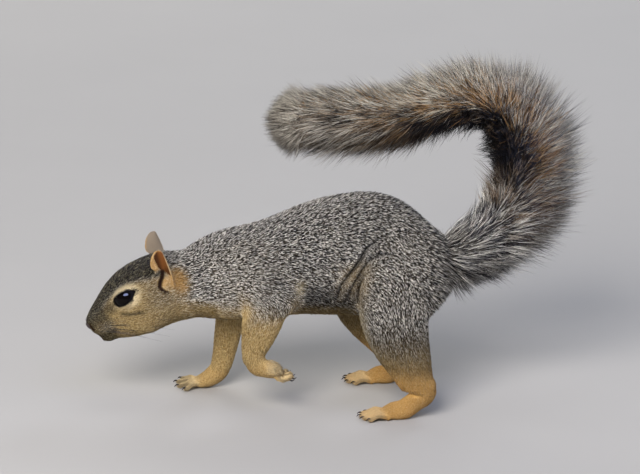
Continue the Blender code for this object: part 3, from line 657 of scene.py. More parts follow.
class SquirrelColours(bpy.types.PropertyGroup):
    """Colours of the coat and of the bare parts."""

    grey_dark: colour_property("Dark Band", "Dark hairs of the grey coat", "#161514")
    grey_mid: colour_property("Middle Band", "Middle tone of the grey coat", "#86827c")
    grey_light: colour_property("Light Band", "Light tips of the grey coat", "#f1eee8")
    tawny_dark: colour_property("Tawny Dark", "Dark hairs among the tawny", "#7f6638")
    tawny: colour_property("Tawny", "Legs, feet and cheeks", "#b4965f")
    tawny_light: colour_property("Tawny Light", "Light tips of the tawny coat", "#dac38f")
    olive: colour_property("Crown Fleck", "Flecks on the crown", "#625b40")
    olive_light: colour_property("Crown Light", "Light tips on the crown", "#878068")
    gold: colour_property("Gold", "Hind feet and the patch behind the ears", "#bd8c46")
    # Black is also laid on as painted shade on the belly, throat, creases, toes' sides, low flank and
    # haunch.
    black: colour_property("Black", "Darkest hair", "#0f0d0c")
    cream: colour_property("Cream", "Eye ring and pale edges", "#e2d2ae")
    undercoat: colour_property("Undercoat", "Shade of the hairs towards their roots", "#7c7771")
    ear_back: colour_property("Ear Back", "Thin short hair on the backs of the ears", "#908374")
    bare_skin: colour_property("Bare Skin", "Inside of the ears", "#6e4423")
    # Painted shade of the hollows: the ear's slit and notch, the nostrils and the deep parts of the ear's
    # bowl.
    hollow_shade_colour: colour_property("Hollows", "Slit of the ear and nostrils", "#20140e")
    tail_base: colour_property("Tail Hair Root", "Tail hair close to the bone", "#5e4a34")
    tail_tawny: colour_property("Tail Tawny", "Tawny band of the tail's hair", "#a98250")
    tail_dark: colour_property("Tail Dark", "Dark band of the tail's hair", "#2a2520")
    silver: colour_property("Silver", "Pale part of the tail's hair", "#989389")
    silver_tip: colour_property("Silver Tip", "Tips of the tail's hair", "#c8c3b7")


class SquirrelSizes(bpy.types.PropertyGroup):
    """Sizes of the coat."""

    coat_length: length_property("Coat Length", "Hair on the back", 0.0040, 0.001)
    face_length: length_property("Face Coat Length", "Hair on the nose", 0.0017, 0.0005)
    coat_width: length_property("Tuft Width", "A tuft of the back", 0.00058, 0.0001)
    face_width: length_property("Face Tuft Width", "A tuft of the nose", 0.00021, 0.0001)
    body_tufts: count_property("Body Tufts", "Tufts on trunk and legs", 90000)
    fine_tufts: count_property("Fine Tufts", "Tufts on face and feet", 87000)
    tail_tufts: count_property("Tail Tufts", "Locks of the tail", 72000)
    whisker_length: length_property("Whisker Length", "The longest whisker", 0.044, 0.001)


# ---- skin -----------------------------------------------------------------------------------
def of_part(part, *starts):
    """Which points belong to the parts whose names start so."""
    return np.array([name.startswith(starts) for name in PARTS])[part]


def ear_axes():
    """Up along the left ear and the way that it faces, in the head's axes."""
    axis = unit(np.array(EAR_TIP) - EAR_ROOT)
    return axis, unit(np.array(EAR_FACING) - axis * np.dot(EAR_FACING, axis))


def ear_leaf(side):
    """One ear as a cupped leaf with thickness, in place, as points and triangles."""
    root, tip = np.array(EAR_ROOT), np.array(EAR_TIP)
    axis, facing = ear_axes()
    across = np.cross(axis, facing)
    sheet = []
    for share, half, cup in through(EAR_SHAPE, 4):
        turn = math.radians(cup)
        bend = half / math.sin(turn) if cup < 90 else half
        at = turn * np.linspace(-np.interp(share, *EAR_FRONT), 1, 21)
        middle = root + (tip - root) * share + across * np.interp(share, *EAR_LEAN)
        row = np.outer(bend * np.sin(at), across) + np.outer(bend * (1 - np.cos(at)), facing)
        sheet.append(middle + row)
    sheet = np.array(sheet)
    normal = unit(np.cross(np.gradient(sheet, axis=0), np.gradient(sheet, axis=1)))
    high, wide = sheet.shape[:2]
    from_side = np.minimum(np.arange(wide), np.arange(wide)[::-1])
    from_rim = np.minimum(from_side, np.arange(high)[::-1, None])
    half = normal * (EAR_THICK * (0.35 + 0.65 * smooth(0, 4, from_rim)))[..., None] / 2
    points = np.vstack([(sheet + half).reshape(-1, 3), (sheet - half).reshape(-1, 3)])
    grid = np.arange(high * wide).reshape(high, wide)
    front = quads(grid[:-1, :-1], grid[:-1, 1:], grid[1:, 1:], grid[1:, :-1])
    back = front[:, (0, 2, 1)] + grid.size
    rim = np.concatenate([grid[0, :], grid[1:, -1], grid[-1, -2::-1], grid[-2:0:-1, 0]])
    after, under = np.roll(rim, -1), rim + grid.size
    edge = [np.stack([rim, under, after], 1), np.stack([after, under, after + grid.size], 1)]
    return turned(points * (side, 1, 1), HEAD), np.vstack([front, back, *edge])


def foot_place(foot):
    """A foot's matrix from its own axes."""
    _, _, side, x, heel, out, _, _ = FEET[foot]
    turn = Matrix.Rotation(math.radians(out * side), 4, "Z")
    return Matrix.Translation((x * side, heel, 0)) @ turn @ Matrix.Translation((0, -heel, 0))


def toe_places(foot):
    """For each toe of a foot: its matrix from the toe's own axes, and its length."""
    toes, root, side, _, _, _, turn, share = FEET[foot]
    whole = foot_place(foot)
    for across, spread, length in toes:
        place = Matrix.Translation(((root[0] + across) * side, root[1], root[2]))
        tip_over = Matrix.Rotation(math.radians(turn), 4, "X")
        fan = Matrix.Rotation(math.radians(spread * side * share), 4, "Z")
        yield whole @ place @ tip_over @ fan, length * share


def foot_shapes(foot):
    """A foot's sole and its toes, as points and triangles."""
    rows = through(SOLES[foot if foot in SOLES else "hindfoot"], 5) * (FEET[foot][2], 1, 1, 1, 1)
    yield tube(turned(rows[:, :3], foot_place(foot)), rows[:, 3], 24, rows[:, 4])
    for matrix, length in toe_places(foot):
        taper = [(s, rise, TOE_RADIUS * (1 - TOE_TAPER * max(s, 0))) for s, rise in TOE_LINE]
        rows = through([(0, -length * s, rise, radius) for s, rise, radius in taper], 4)
        share = -rows[:, 1] / length
        knuckles = 1 + 0.07 * np.cos((share - 0.45) * 2 * math.pi / 0.5)
        yield tube(turned(rows[:, :3], matrix), rows[:, 3] * knuckles * 0.97, 14)


def tail_frame(t):
    """At shares of the tail's length: its bone, the brush round it, and the way outward."""
    step = 0.004
    ahead, behind = BRUSH_AT(t + step), BRUSH_AT(np.maximum(t - step, 0))
    way = unit((ahead - behind)[..., :2])
    outward = np.stack([way[..., 1], -way[..., 0]], -1)  # Y and Z, away from the bend's inside
    return BONE_AT(t), BRUSH_AT(t), outward


def labels(points):
    """Which part lies nearest to each point, as an index into PARTS."""
    corners, faces, owner, count = [], [], [], 0
    for index, name in enumerate(PARTS):
        p, f, _ = arrays(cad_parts[name].data)
        corners.append(p)
        faces.append(f + count)
        owner += [index] * len(f)
        count += len(p)
    tree = BVHTree.FromPolygons(np.vstack(corners).tolist(), np.vstack(faces).tolist())
    return np.array([owner[tree.find_nearest(p)[2]] for p in points.tolist()])


def raw_flesh(voxel):
    """The CAD pieces of flesh grown over their gaps and made one, with finer ears and toes."""
    work = bmesh.new()
    for name in FLESH:
        if name not in FEET:
            work.from_mesh(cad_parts[name].data)
    work.normal_update()
    grow = 0.35 * MM
    for vertex in work.verts:
        vertex.co += vertex.normal * grow
    mesh = bpy.data.meshes.new("flesh")
    work.to_mesh(mesh)
    work.free()
    points, triangles, _ = arrays(mesh)
    # The stub at the root of the tail narrows to the tail's own flesh.
    bone = BONE_AT(np.linspace(0, 1, 160))
    first = bone[:40]
    away = np.linalg.norm(points[:, None, 1:] - first[None], axis=2)
    centre = np.column_stack([np.zeros(len(points)), first[away.argmin(1)]])
    slim = centre + unit(points - centre) * TAIL_CORE[0]
    share = smooth(58, 84, points[:, 1])[:, None] * (points[:, 2] > 55)[:, None]
    shapes = [(points + (slim - points) * share, triangles)]
    core = np.vstack([[(50.0, 99.0)], bone])  # it starts inside the trunk
    core = np.column_stack([np.zeros(len(core)), core])
    shapes.append(tube(core, np.linspace(*TAIL_CORE, len(core)), 16))
    shapes += [ear_leaf(side) for side in (1, -1)]
    for foot in FEET:
        shapes += list(foot_shapes(foot))
    for side in (1, -1):
        ends = [np.array(EYE) * (side, 1, 1) + (0, d, 0) for d in (-0.1, 0.1)]
        shapes.append(tube(turned(ends, HEAD), (7.3, 7.3), 24))
    obj = piece_from("flesh", *merged(shapes))
    fuse = obj.modifiers.new("fuse", "REMESH")
    fuse.mode = "VOXEL"
    fuse.voxel_size = voxel * MM
    fused = evaluated(obj)
    bpy.data.objects.remove(obj)
    return fused


def fineness(points, part):
    """0 for the back's coat, 1 for the nose's, by part and place."""
    fine = np.zeros(len(points))
    for name, places, values in FINENESS:
        here = of_part(part, name)
        along = in_head(points)[:, 1] if name == "head" else points[:, 2]
        fine[here] = np.interp(along[here], places, values)
    return fine


def almond(a, b, halves):
    """Under 1 inside a pointed oval of those half sizes, narrower to the rear, over 1 outside it."""
    b = b * (1 + 0.3 * smooth(0.3, 0.9, a / halves[0]))
    return np.sqrt((a / halves[0]) ** 2 + np.abs(b / halves[1]) ** 1.5)


def eye_dented(points):
    """Sockets under the eyes, with lids that stand round the opening."""
    moved = in_head(points)
    lid, inside = EYE_RADIUS + LID_PROUD, EYE_RADIUS - 1.0
    for side in (1, -1):
        centre = np.array(EYE) * (side, 1, 1)
        rear, up, outward = eye_axes(side)
        arm = moved - centre
        a, b, c = arm @ rear, arm @ up, arm @ outward
        near = (np.abs(a) < 20) & (np.abs(b) < 16) & (c > -2)
        from_opening = almond(a - EYE_BACK * 0.5, b, EYE_OPENING)
        distance = np.linalg.norm(arm, axis=1)
        target = inside + (lid - inside) * smooth(0.90, 1.0, from_opening)
        # Far from the opening the skin keeps its place.
        wanted = distance + (target - distance) * (1 - smooth(1.25, 2.3, from_opening))
        scale = np.where(near, wanted / np.maximum(distance, 1e-6), 1.0)
        moved = centre + arm * scale[:, None]
    return turned(moved, HEAD)


def sunk(points, normals, squares, depth):
    """Lowers the skin by a depth where squares is 0, and less and less where it grows."""
    return points - normals * (depth * np.exp(-squares))[:, None]


def nearest_on(points, start, end):
    """Distance to a segment."""
    start, end = np.array(start, float), np.array(end, float)
    way = end - start
    t = np.clip((points - start) @ way / way.dot(way), 0, 1)
    return np.linalg.norm(points - start - t[:, None] * way, axis=1)


def line_gap(points, line):
    """Distance to a line of segments."""
    return np.min([nearest_on(points, start, end) for start, end in zip(line, line[1:])], axis=0)


def creased(points, normals):
    """Folds of loose skin ahead of the thighs."""
    out = points.copy()
    for gap, depth in crease_gaps(points):
        dip = 2.4 * np.exp(-((gap / 1.4) ** 2)) - 0.9 * np.exp(-(((gap - 3.0) / 1.2) ** 2))
        out -= normals * (dip * depth)[:, None]
    return out


def bearings(points):
    """The way the hair lies at each point, before it is laid on the skin."""
    places, ways, reach = [], [], []

    def course(rows, width):
        dense = through(rows, 8)
        places.append(dense)
        ways.append(unit(np.gradient(dense, axis=0)))
        reach.extend([width] * len(dense))

    for rows in COURSES:
        for side in (1, -1) if max(row[0] for row in rows) > 0 else (1,):
            course([(x * side, y, z) for x, y, z in rows], 12.0)
    for rows in LIMBS.values():
        course(rows[1:], 9.0)
    for foot in FEET:
        for matrix, length in toe_places(foot):
            toe = [np.array(matrix @ Vector((0, y, 0))) for y in (0, -length)]
            course([ANKLES[foot], *toe], 4.0)
    for side in (1, -1):
        root, tip = np.array(EAR_ROOT), np.array(EAR_TIP)
        for rows, width in zip([[root, (root + tip) / 2, tip], *FACE_COURSES], (4.0, 8.0, 8.0)):
            course(turned(np.array(rows) * (side, 1, 1), HEAD), width)
    places, ways, reach = np.vstack(places), np.vstack(ways), np.array(reach)
    out = np.empty_like(points)
    block = 4000  # so many points at a time keep the table of distances small
    for start in range(0, len(points), block):
        some = slice(start, start + block)
        gap = np.linalg.norm(points[some, None] - places[None], axis=2)
        out[some] = (1 / (1 + (gap / reach) ** 2) ** 3) @ ways
    return unit(out)


def laid(directions, normals):
    """Directions brought into the surface."""
    return unit(directions - normals * (directions * normals).sum(1)[:, None])


def spot(points, centre, radius):
    """1 at a place, fading to 0 at a radius."""
    return 1 - smooth(0, 1, np.linalg.norm((points - centre) / radius, axis=1))


def ear_places(local):
    """Places in an ear's own axes: rearward, up, proud of it, and the way that it faces."""
    axis, facing = ear_axes()
    arm = local - EAR_ROOT
    return arm @ np.cross(axis, facing), arm @ axis, arm @ facing, facing


def either_side(points):
    """The same points, all on the left side."""
    return points * np.where(points[:, :1] < 0, (-1, 1, 1), (1, 1, 1))


def crease_gaps(points):
    """For each crease, how far the points are from it, and how deep it is beside them."""
    for side in (1, -1):
        aside = smooth(12, 20, points[:, 0] * side)
        back = 0 if side > 0 else -12  # the right thigh is further forward
        for line in CREASES:
            row = np.array(line)
            gap = line_gap(points[:, 1:] - (back, 0), row)
            share = (row[0, 1] - points[:, 2]) / (row[0, 1] - row[-1, 1])
            yield gap, aside * np.sin(np.clip(share, 0.0, 0.85) * math.pi) ** 0.6


def palm_hair(points, part):
    """The fringe of the lifted forepaw's palm."""
    y, z = points.T[1:]
    return of_part(part, "forepaw_left") * smooth(28.5, 31.5, z) * smooth(-56, -52, y)


def markings(points, normals, part):
    """The coat's zones as shares from 0 to 1, for points of the skin."""
    x, y, z = points.T
    names = ("head", "neck", "trunk", "foreleg", "hindleg", "hindfoot", "ear")
    head, neck, trunk, fore, hind, hindfeet, ears = (of_part(part, name) for name in names)
    lifted, feet = of_part(part, "forepaw_left"), of_part(part, "hindfoot", "forepaw")
    front, body = head | neck, trunk | neck
    outer = normals[:, 0] * np.where(x < 0, -1.0, 1.0)
    local = either_side(in_head(points))
    wide, v, h = local.T  # out, rearward and up in the head's axes, for the left side
    is_head = smooth(9, -5, v) * (y < -95)
    zone = {key: np.zeros(len(points)) for key in ZONES}

    def more(key, share):
        zone[key] = np.maximum(zone[key], share)

    def put(key, where, share):
        zone[key] = np.where(where, share, zone[key])

    # Trunk and legs: tawny below and within, grey above and without.
    belly = smooth(77, 70, z) * smooth(0.25, -0.25, normals[:, 2])
    throat = smooth(-88, -108, y) * smooth(78, 68, z) * smooth(0.5, -0.1, normals[:, 2])
    put("tawny", body, np.maximum(belly, 0.55 * throat))
    # Painted shade on the belly and the throat, as undersides away from the light.
    put("dark", body, np.maximum(0.45 * belly, 0.58 * throat))
    rear_edge = smooth(0.35, 0.75, normals[:, 1]) * smooth(86, 74, z)
    front_edge = smooth(-0.35, -0.8, normals[:, 1]) * smooth(92, 80, z)
    edges = np.maximum(rear_edge, front_edge)
    put("tawny", fore, 1 - smooth(58, 80, z) * smooth(0.0, 0.5, outer) * (1 - 0.8 * edges) * 0.95)
    put("tawny", hind, 1 - smooth(32, 66, z) * smooth(-0.25, 0.3, outer) * 0.97)
    put("tawny", feet, 1.0)

    # Head: a dark crown and muzzle, grizzled cheeks, the whiskers' dots, gold behind the ears.
    edge = np.interp(v, *CROWN_EDGE)
    above = smooth(edge - 2.5, edge + 3.5, h)
    grizzled = smooth(-28, -10, v) * smooth(-19, -9, h)
    cheek = (1 - above) * (1 - 0.40 * grizzled)
    put("tawny", front, zone["tawny"] * (1 - is_head) + cheek * is_head)
    muzzle = smooth(-40, -50, v) * is_head
    bristly = is_head * spot(local[:, 1:], (-51.5, -13.0), (9, 6))
    more("crown", above * is_head)
    more("crown", 0.93 * muzzle * (1 - 0.4 * bristly))
    more("crown", 0.9 * is_head * spot(local[:, 1:], (-44, -2), (12, 9)))
    more("crown", 0.6 * is_head * spot(local[:, 1:], (-46, -9.5), (6, 3)))
    more("crown", 0.35 * is_head)
    zone["tawny"] *= 1 - 0.6 * bristly
    more("pale", 0.2 * bristly)
    for root in WHISKERS:
        gap = np.linalg.norm((local - root)[:, 1:], axis=1)
        more("dark", 0.9 * is_head * np.exp(-((gap / 0.8) ** 4)))
    from_ear = np.linalg.norm((local - (16.0, 3.8, -1.5)) / (9.5, 7.6, 12.5), axis=1)
    behind_ear = smooth(1.1, 0.5, from_ear) * (v > -3)
    put("tawny", front | trunk, np.maximum(zone["tawny"], behind_ear))
    zone["crown"] *= 1 - behind_ear
    more("gold", np.maximum(0.6 * behind_ear, 0.6 * hind * smooth(46, 24, z)))
    put("gold", feet, np.where(hindfeet, 0.6, 0.2))
    more("dark", 0.12 * behind_ear)

    # Eye: a pale ring, dark corners, and a dark fold of the cheek below.
    rear, up, outward = eye_axes(1)
    arm = local - EYE
    a, b, c = arm @ rear, arm @ up, arm @ outward
    near_eye = head & (c > 0)
    ring = np.hypot((a - 1.6) / 10.8, (b + 0.6) / 7.8)
    corners = almond(a - EYE_BACK, b, EYE_CORNERS)
    put("pale", near_eye, smooth(1.10, 0.84, ring) * (0.42 + 0.33 * smooth(-7, 1, a + 0.4 * b)))
    put("dark", near_eye, smooth(1.08, 0.96, corners))
    fold = 0.75 * np.exp(-((line_gap(local[:, 1:], STREAK) / 1.15) ** 2)) * smooth(-21, -27, v)
    more("dark", np.where(front & (wide > 7) & ~(corners < 1), fold, 0))

    # Pale edges at the elbow, under the tail, ahead of the thigh, on the palm and the toes.
    more("pale", 0.7 * spot(points, (31, -35, 88), (7, 5, 10)))
    more("pale", 0.85 * spot(either_side(points), (12, 77, 75), (12, 8, 10)))
    rim = smooth(-0.6, -0.9, normals[:, 1]) * smooth(34, 50, z) * smooth(84, 70, z)
    more("pale", np.where(hind, 0.45 * rim, 0))
    raised = np.where(lifted, smooth(-49, -45, y), smooth(-90, -94, y))
    toes = feet * np.where(hindfeet, smooth(27, 21, y), raised)
    more("pale", np.maximum(0.5 * palm_hair(points, part), 0.38 * toes))
    # Painted shade on the toes' sides, in the gaps between them.
    more("dark", 0.4 * toes * smooth(0.6, 0.9, np.abs(normals[:, 0])))
    # Painted shade in the creases, with a tawny band beside them.
    for gap, depth in crease_gaps(points):
        more("dark", np.exp(-((gap / 1.7) ** 2)) * depth)
        more("tawny", 0.5 * np.exp(-((gap / 4.5) ** 2)) * depth * smooth(112, 100, z))

    # Shade of the low flank, of the lower haunch and of the thigh's front.
    low_flank = 0.66 * body * smooth(98, 82, z) * smooth(0.1, 0.5, outer)
    more("dark", low_flank * (y > -45) * (y < 30))
    more("dark", 0.48 * hind * smooth(26, 38, z) * smooth(72, 54, z))
    thigh_front = 0.42 * hind * smooth(-0.25, -0.75, normals[:, 1]) * smooth(44, 60, z)
    more("dark", thigh_front * smooth(100, 88, z))

    # Ears: bare within, a slit, thin grey hair on the back, gold round the root. The slit, its notch and
    # the deep parts of the bowl are painted shade, as are the nostrils.
    aside, height, proud, facing = ear_places(local)
    flat = turned(normals, HEAD.inverted().to_3x3().to_4x4())
    flat *= np.where(x < 0, -1.0, 1.0)[:, None] ** (1, 0, 0)
    half = np.interp(height / EAR_LENGTH, *np.array(EAR_SHAPE).T[:2])
    from_middle = aside - np.interp(height / EAR_LENGTH, *EAR_LEAN)
    ear_front = np.interp(height, [12.0, 14, 18, 21.5, 24, 27], [-0.8, -2.2, -2.9, -3.2, -3.0, 0.0])
    low = np.interp(aside, [-1.3, 1.5, 2.8, 5.5], [12.3, 11.8, 9.4, 9.0])
    inside = smooth(-0.05, 0.35, flat @ facing) * (proud > -1.6) * (proud < 6)
    inside = inside * (np.abs(from_middle) < half + 0.4)
    bare = inside * smooth(27.6, 26.2, height) * smooth(low - 0.6, low + 0.8, height)
    bare *= smooth(-0.4, 0.4, aside - ear_front)
    bare *= smooth(half - 0.3, half - 1.0, from_middle)
    zone["bare"] = bare
    near = (np.abs(proud) < 6) & (flat @ facing > -0.2) & (ears | front)
    # The slit and its notch: painted shade in the recess.
    for line, width in ((EAR_CANAL, 2.0), (EAR_NOTCH, 1.5)):
        gap = line_gap(np.column_stack([aside, height]), line)
        more("hollow_shade", np.where(near, np.exp(-((gap / width) ** 4)), 0))
    # The nostrils: painted shade in their openings.
    more("hollow_shade", is_head * np.exp(-((nearest_on(local, *NOSTRIL) / 1.3) ** 4)))
    # Painted shade deep in the bare bowl: towards its front, and low down towards its rear.
    shade = np.maximum(smooth(2.0, -1.5, aside), 0.75 * smooth(17, 12, height) * smooth(0.5, 2.5, aside))
    more("hollow_shade", 0.75 * shade * bare)
    zone["ear"] = ears * (1 - inside) * (1 - 0.8 * smooth(half - 1.3, half - 0.3, np.abs(from_middle)))
    put("tawny", ears, 0.85)
    put("crown", ears, 0.0)
    put("pale", ears, 0.05 + 0.40 * smooth(0.5, 2.5, from_middle) * smooth(8, 14, height))
    near_ear = (np.abs(proud) < 6) * smooth(7, 3, np.hypot(aside + 1, height - 4))
    for key, share in (("pale", 0.12), ("tawny", 0.9), ("gold", 0.65)):
        more(key, share * near_ear * front)
    zone["crown"] *= 1 - 0.8 * near_ear
    put("gold", ears, 0.65)
    return zone


def coat_limits(points, part, zones):
    """Where no coat grows, where it is short, where it stands loose and where it is long."""
    local = either_side(in_head(points))
    arm = local - EYE
    rear, up, _ = eye_axes(1)
    socket = almond(arm @ rear - EYE_BACK, arm @ up, EYE_CORNERS) < 0.90
    from_nostril = nearest_on(local, *NOSTRIL)
    nose = np.hypot(local[:, 0] / 3.6, np.hypot(local[:, 1] + 60.6, local[:, 2] + 10.4) / 3.6) < 0.8
    naked = (socket & (np.linalg.norm(arm, axis=1) < 9)) | nose | (from_nostril < 1.5)
    naked |= (zones["hollow_shade"] > 0.5) | (zones["bare"] > 0.5)
    aside, height, proud, _ = ear_places(local)
    short = np.maximum(1.2 * of_part(part, "ear"), smooth(4.5, 2.0, from_nostril))
    gap = line_gap(np.column_stack([aside, height]), EAR_CANAL)
    short = np.maximum(short, 1.5 * smooth(5, 2.5, gap) * (np.abs(proud) < 6))
    for gap, depth in crease_gaps(points):
        short = np.maximum(short, smooth(6.0, 2.5, gap) * depth)
    y, z = points.T[1:]
    loose = smooth(52, 78, y) + 0.5 * smooth(120, 140, z) * (y > 0)
    loose += 1.2 * spot(local, (16, 6, -1), (9, 9, 13)) + 0.1 * spot(points, (0, -85, 112), (40, 40, 30))
    palm = palm_hair(points, part) * smooth(-44, -47, y)
    long = 1.7 * smooth(44, 72, y) * smooth(66, 84, z) + 1.6 * palm
    return {"naked": naked.astype(float), "short": short, "loose": loose + 3 * palm, "long": long}


def unwrap(points, part):
    """A place from 0 to 1 on the unrolled skin: round and along the part a point is on."""
    out = np.zeros((len(points), 2))
    for index in range(len(PARTS)):
        here = part == index
        if not here.any():
            continue
        p = points[here]
        middle = p.mean(0)
        spread = np.ptp(p, axis=0)
        main = int(spread.argmax())
        others = [k for k in range(3) if k != main]
        angle = np.arctan2(p[:, others[1]] - middle[others[1]], p[:, others[0]] - middle[others[0]])
        along = (p[:, main] - p[:, main].min()) / spread[main]
        out[here] = np.column_stack([0.5 + angle / (2 * math.pi), along])
    return 0.01 + 0.97 * out


def sculpted(points, normals):
    """The skin with its nape, folds, nostrils, mouth, ear slits and eyelids."""
    nape = spot(points, (0, -84, 114), (30, 36, 26))
    points = creased(points + normals * (2.4 * nape)[:, None], normals)
    for sign in (1, -1):
        for share in (0.0, 0.5, 1.0):
            place = np.array(NOSTRIL[0]) * (1 - share) + np.array(NOSTRIL[1]) * share
            place = turned([place * (sign, 1, 1)], HEAD)[0]
            points = sunk(points, normals, ((points - place) ** 2).sum(1), 0.7)
        mouth = turned(np.array(MOUTH) * (sign, 1, 1), HEAD)
        for start, end in zip(mouth, mouth[1:]):
            points = sunk(points, normals, nearest_on(points, start, end) ** 2, 0.7)
    aside, height, proud, _ = ear_places(either_side(in_head(points)))
    for start, end in zip(EAR_CANAL, EAR_CANAL[1:]):
        gap = nearest_on(np.column_stack([aside, height]), start, end)
        points = sunk(points, normals, (gap / 1.1) ** 2, 0.9 * (np.abs(proud) < 5) * (height < 11))
    points = eye_dented(points)
    points[:, 2] = np.maximum(points[:, 2], 0.15)
    return points


class SQUIRREL_OT_skin(bpy.types.Operator):
    """Make one skin for all the flesh, a coat's depth inside the CAD solids"""

    bl_idname = "squirrel.skin"
    bl_label = "Skin"

    def execute(self, context):
        voxel = VOXEL
        fused = raw_flesh(voxel)
        points, triangles, _ = arrays(fused)
        bpy.data.meshes.remove(fused)
        pairs, part = links(triangles), labels(points)
        ears, paws = of_part(part, "ear"), of_part(part, "forepaw", "hindfoot")
        head, half = of_part(part, "head"), np.full(len(points), 0.5)
        # The voxels' steps are smoothed away, least where the shape is thin.
        give = np.where(ears, 0.3, np.where(paws, 0.06, np.where(head, 0.5, 0.6)))
        give = softened(give, pairs, half, 12)
        points = softened(points, pairs, give, int(26 * (VOXEL / voxel) ** 2))
        fine = softened(fineness(points, part), pairs, half, 40)
        tail = (points[:, 1] > 84) | (points[:, 2] > 150)
        depth = np.where(ears | tail, 0.0, np.interp(fine, FINE_STEPS, COAT_DEPTH))
        depth = softened(depth, pairs, half, 8)
        flesh = piece_from("flesh", points, triangles)
        normals = arrays(flesh.data)[2]
        bpy.data.objects.remove(flesh)
        points = sculpted(points - normals * depth[:, None], normals)
        skin = piece_from("skin", points, triangles, {"fine": fine})
        if len(triangles) > FACE_LIMIT:
            group = skin.vertex_groups.new(name="plain")
            keep = head & (in_head(points)[:, 1] < -4) | paws | ears
            group.add(np.flatnonzero(~keep).tolist(), 1.0, "REPLACE")
            fewer = skin.modifiers.new("fewer", "DECIMATE")
            fewer.ratio = SKIN_FACES / len(triangles)
            fewer.vertex_group = "plain"
            mesh = evaluated(skin)
            skin.modifiers.clear()
            skin.vertex_groups.clear()
            skin.data = mesh
        mesh = skin.data
        points, triangles, normals = arrays(mesh)
        part, pairs = labels(points), links(triangles)
        zones = markings(points, normals, part)
        for key, times in (("tawny", 10), ("gold", 10), ("crown", 4), ("pale", 2)):
            zones[key] = softened(zones[key], pairs, np.full(len(points), 0.5), times)
        zones.update(coat_limits(points, part, zones))
        zones["lie"] = laid(bearings(points), normals)
        zones["part"] = part.astype(float)
        zones["tail"] = ((points[:, 1] > 92) | (points[:, 2] > 150)).astype(float)
        set_fields(mesh, zones)
        mesh.shade_smooth()
        tail_nodes = ["tail_" + name for name in TAIL_LENGTHS]
        material = skin_material(context.scene.squirrel_colours)
        finish_piece(skin, material, "grey_coat", *PARTS, *tail_nodes)
        return {"FINISHED"}


# ---- coat -----------------------------------------------------------------------------------
def read_skin():
    """The skin's arrays and its fields."""
    mesh = bpy.data.objects["skin"].data
    points, triangles, normals = arrays(mesh)
    fields = {}
    kinds = {"FLOAT": ("value", 1), "FLOAT_VECTOR": ("vector", 3)}
    for layer in mesh.attributes:
        if layer.domain == "POINT" and layer.data_type in kinds and layer.name != "position":
            word, wide = kinds[layer.data_type]
            values = np.empty((len(points), wide))
            layer.data.foreach_get(word, values.reshape(-1))
            fields[layer.name] = values if wide == 3 else values[:, 0]
    return points, triangles, normals, fields


def thinned(count):
    return ((count, 1.0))


def in_order(places):
    """An order of places that keeps neighbours together (Morton code)."""
    cells = ((places - places.min(0)) / (np.ptp(places, axis=0).max() + 1e-9) * 1023).astype(np.int64)
    code = np.zeros(len(places), dtype=np.int64)
    for bit in range(10):
        for axis in range(3):
            code |= ((cells[:, axis] >> bit) & 1) << (3 * bit + axis)
    return np.argsort(code)


def scattered(points, triangles, density, count, rng):
    """Roots spread evenly over triangles by density: the triangle and the shares of its corners."""
    a, b, c = (points[triangles[:, k]] for k in range(3))
    area = np.linalg.norm(np.cross(b - a, c - a), axis=1) / 2 * density
    order = in_order((a + b + c) / 3)
    sums = np.cumsum(area[order])
    picks = (np.arange(count) + rng.random(count)) / count * sums[-1]
    chosen = order[np.minimum(np.searchsorted(sums, picks), len(order) - 1)]
    u, v = rng.random(count), rng.random(count)
    flip = u + v > 1
    u, v = np.where(flip, 1 - u, u), np.where(flip, 1 - v, v)
    return chosen, np.column_stack([1 - u - v, u, v])


def strands(roots, bends, tips, up, width, middle):
    """Closed hairs, pointed at both ends, with three sides at their middle, a share along them."""
    count = len(roots)
    centre = roots * (1 - middle) ** 2 + bends * (2 * middle * (1 - middle)) + tips * middle**2
    way = unit((bends - roots) * (1 - middle) + (tips - bends) * middle)
    across = unit(np.cross(way, up))
    over = np.cross(across, way)
    size = (width / 2)[:, None]
    sides = [centre - across * size, centre + across * size, centre + over * size * 0.9]
    along = np.tile([0.0, middle, middle, middle, 1.0], (count, 1))
    pattern = [(0, 1 + (s + 1) % 3, 1 + s) for s in range(3)]
    pattern += [(1 + s, 1 + (s + 1) % 3, 4) for s in range(3)]
    return np.stack([roots, *sides, tips], axis=1), along, np.array(pattern)


def patches(uv, along):
    """Each strand's small patch on the unrolled skin, at its root."""
    out = np.repeat(uv[:, None], 5, axis=1)
    out[..., 0] += (0.0, -0.0015, 0.0015, 0.0, 0.0)
    out[..., 1] += along * 0.003 + (0.0, 0.0, 0.0, 0.0007, 0.0)
    return out.reshape(-1, 2)


def coat_pieces(label, groups, shape, uv, fields, material, slot):
    """Splits strands into pieces by group, each small enough for the export."""
    points, along, pattern = shape
    each = points.shape[1]
    limit = FACE_LIMIT // len(pattern)
    for name, members in groups:
        for number, start in enumerate(range(0, len(members), limit)):
            some = members[start : start + limit]
            faces = (pattern[None] + (np.arange(len(some)) * each)[:, None, None]).reshape(-1, 3)
            values = {key: np.repeat(value[some], each) for key, value in fields.items()}
            values["along"] = along[some].ravel()
            title = f"{label}_{name}" + (f"_{number + 1}" if len(members) > limit else "")
            places, patch = points[some].reshape(-1, 3), patches(uv[some], along[some])
            finish_piece(piece_from(title, places, faces, values, patch), material, slot)


